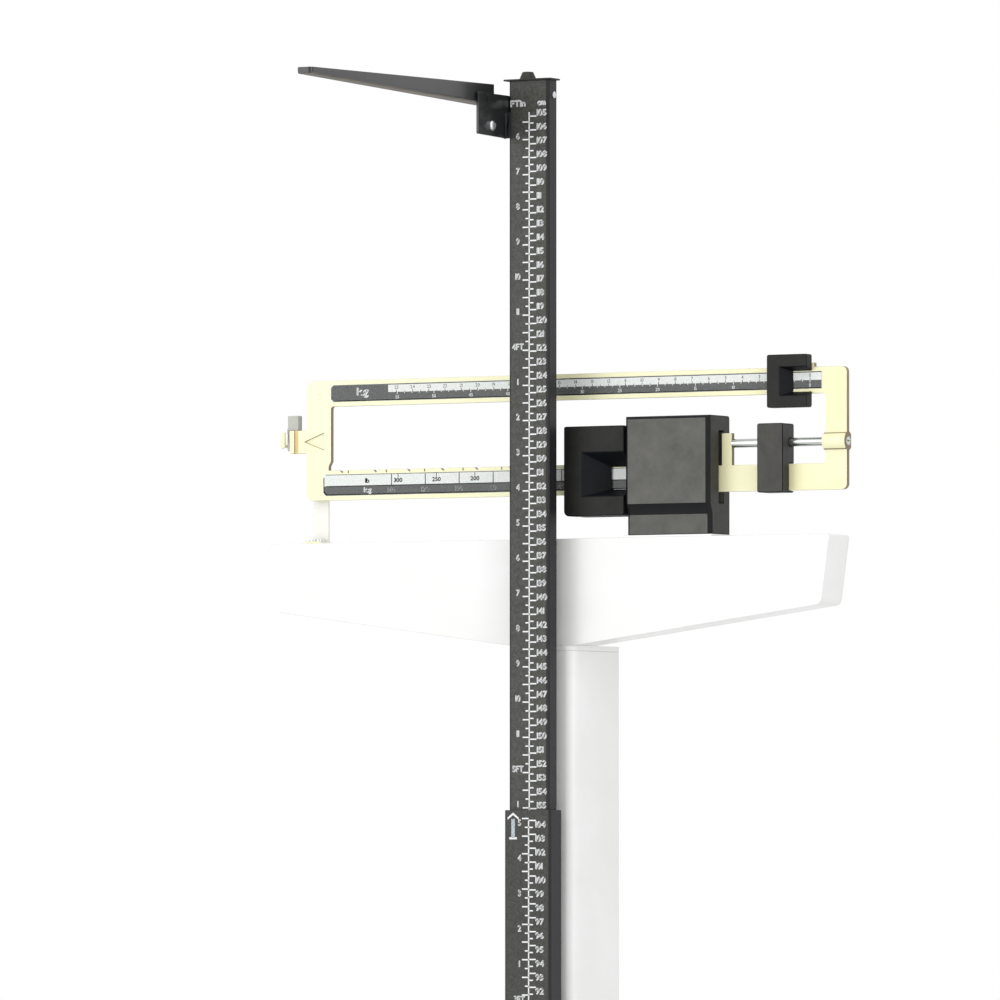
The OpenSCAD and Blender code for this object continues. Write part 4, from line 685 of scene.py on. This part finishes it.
def light_path_fac(tree):
    """1 for rays from the camera, reflections and glass, else 0."""
    path = tree.nodes.new("ShaderNodeLightPath")
    total = path.outputs["Is Camera Ray"]
    for name in ("Is Glossy Ray", "Is Transmission Ray"):
        most = tree.nodes.new("ShaderNodeMath")
        most.operation = "MAXIMUM"
        tree.links.new(total, most.inputs[0])
        tree.links.new(path.outputs[name], most.inputs[1])
        total = most.outputs[0]
    return total


scene = bpy.context.scene
world = bpy.data.worlds.new("studio")
world.use_nodes = True
scene.world = world
tree = world.node_tree
tree.nodes.clear()
mix = tree.nodes.new("ShaderNodeMixShader")
out = tree.nodes.new("ShaderNodeOutputWorld")
tree.links.new(light_path_fac(tree), mix.inputs["Fac"])
for socket, colour, strength in ((1, FILL_COLOUR, FILL_STRENGTH), (2, (1, 1, 1, 1), 1.0)):
    background = tree.nodes.new("ShaderNodeBackground")
    background.inputs["Color"].default_value = colour
    background.inputs["Strength"].default_value = strength
    tree.links.new(background.outputs[0], mix.inputs[socket])
tree.links.new(mix.outputs[0], out.inputs["Surface"])

floor_mesh = bpy.data.meshes.new("floor")
floor_mesh.from_pydata([(-FLOOR_HALF, -FLOOR_HALF, 0), (FLOOR_HALF, -FLOOR_HALF, 0),
                        (FLOOR_HALF, FLOOR_HALF, 0), (-FLOOR_HALF, FLOOR_HALF, 0)], [],
                       [(0, 1, 2, 3)])
floor = bpy.data.objects.new("floor", floor_mesh)
scene.collection.objects.link(floor)
paper = Finish("floor_paper", rough=0.9, specular=0.1)
tint = paper.node("ShaderNodeValToRGB")
tint.color_ramp.elements[0].color = (0.88, 0.88, 0.875, 1)
tint.color_ramp.elements[1].color = (0.93, 0.93, 0.925, 1)
paper.link(paper.noise(3.0, 2.0, 0.5), tint.inputs["Fac"])
paper.colour(tint.outputs["Color"])
far = paper.node("ShaderNodeVectorMath", operation="LENGTH")
paper.link(paper.coords, far.inputs[0])
fade = paper.node("ShaderNodeMapRange", interpolation_type="SMOOTHSTEP")
fade.inputs["From Min"].default_value, fade.inputs["From Max"].default_value = FLOOR_FADE
paper.link(far.outputs["Value"], fade.inputs["Value"])
both = paper.node("ShaderNodeMath", operation="MULTIPLY")
paper.link(fade.outputs["Result"], both.inputs[0])
paper.link(light_path_fac(paper.tree), both.inputs[1])
glow = paper.node("ShaderNodeEmission")
glow.inputs["Strength"].default_value = 1.0
blend = paper.node("ShaderNodeMixShader")
paper.link(both.outputs[0], blend.inputs["Fac"])
paper.link(paper.shader.outputs[0], blend.inputs[1])
paper.link(glow.outputs[0], blend.inputs[2])
paper.link(blend.outputs[0], paper.tree.nodes["Material Output"].inputs["Surface"])
floor_mesh.materials.append(paper.material)


def lamp(name, azimuth, height, distance, size, watts):
    """A softbox; azimuth 0 is in front of the scale, 90 to its right."""
    data = bpy.data.lights.new(name, "AREA")
    data.shape = "RECTANGLE"
    data.size, data.size_y = size
    data.energy = watts
    piece = bpy.data.objects.new(name, data)
    a = math.radians(azimuth)
    piece.location = Vector((math.sin(a) * distance, -math.cos(a) * distance, height))
    aim = Vector(LAMP_TARGET) - piece.location
    piece.rotation_euler = aim.to_track_quat("-Z", "Y").to_euler()
    scene.collection.objects.link(piece)


lamp("key", -32, 1.9, 3.2, (2.6, 2.6), 34)
lamp("side", 70, 1.6, 3.4, (1.6, 2.4), 24)
lamp("top", 20, 3.6, 1.2, (2.2, 2.2), 16)

# Camera at the photograph's angle, to the right of the rod's front, with a long lens
CAMERA_ANGLE = math.radians(30)
CAMERA_DISTANCE, CAMERA_HEIGHT = 6.79, 1.102
CAMERA_PAN, CAMERA_TILT = math.radians(0.172), math.radians(2.1465)
camera_data = bpy.data.cameras.new("camera")
camera_data.sensor_width = 36
camera_data.lens = 339.14
camera_data.clip_start, camera_data.clip_end = 0.1, 60
camera = bpy.data.objects.new("camera", camera_data)
scene.collection.objects.link(camera)
scene.camera = camera
rod_face = at(0, -7, 0)
camera.location = Vector((rod_face.x + CAMERA_DISTANCE * math.sin(CAMERA_ANGLE),
                          rod_face.y - CAMERA_DISTANCE * math.cos(CAMERA_ANGLE), CAMERA_HEIGHT))
heading = CAMERA_ANGLE + CAMERA_PAN
look = Vector((-math.sin(heading) * math.cos(CAMERA_TILT),
               math.cos(heading) * math.cos(CAMERA_TILT), math.sin(CAMERA_TILT)))
camera.rotation_euler = look.to_track_quat("-Z", "Y").to_euler()

scene.view_settings.view_transform = "Standard"
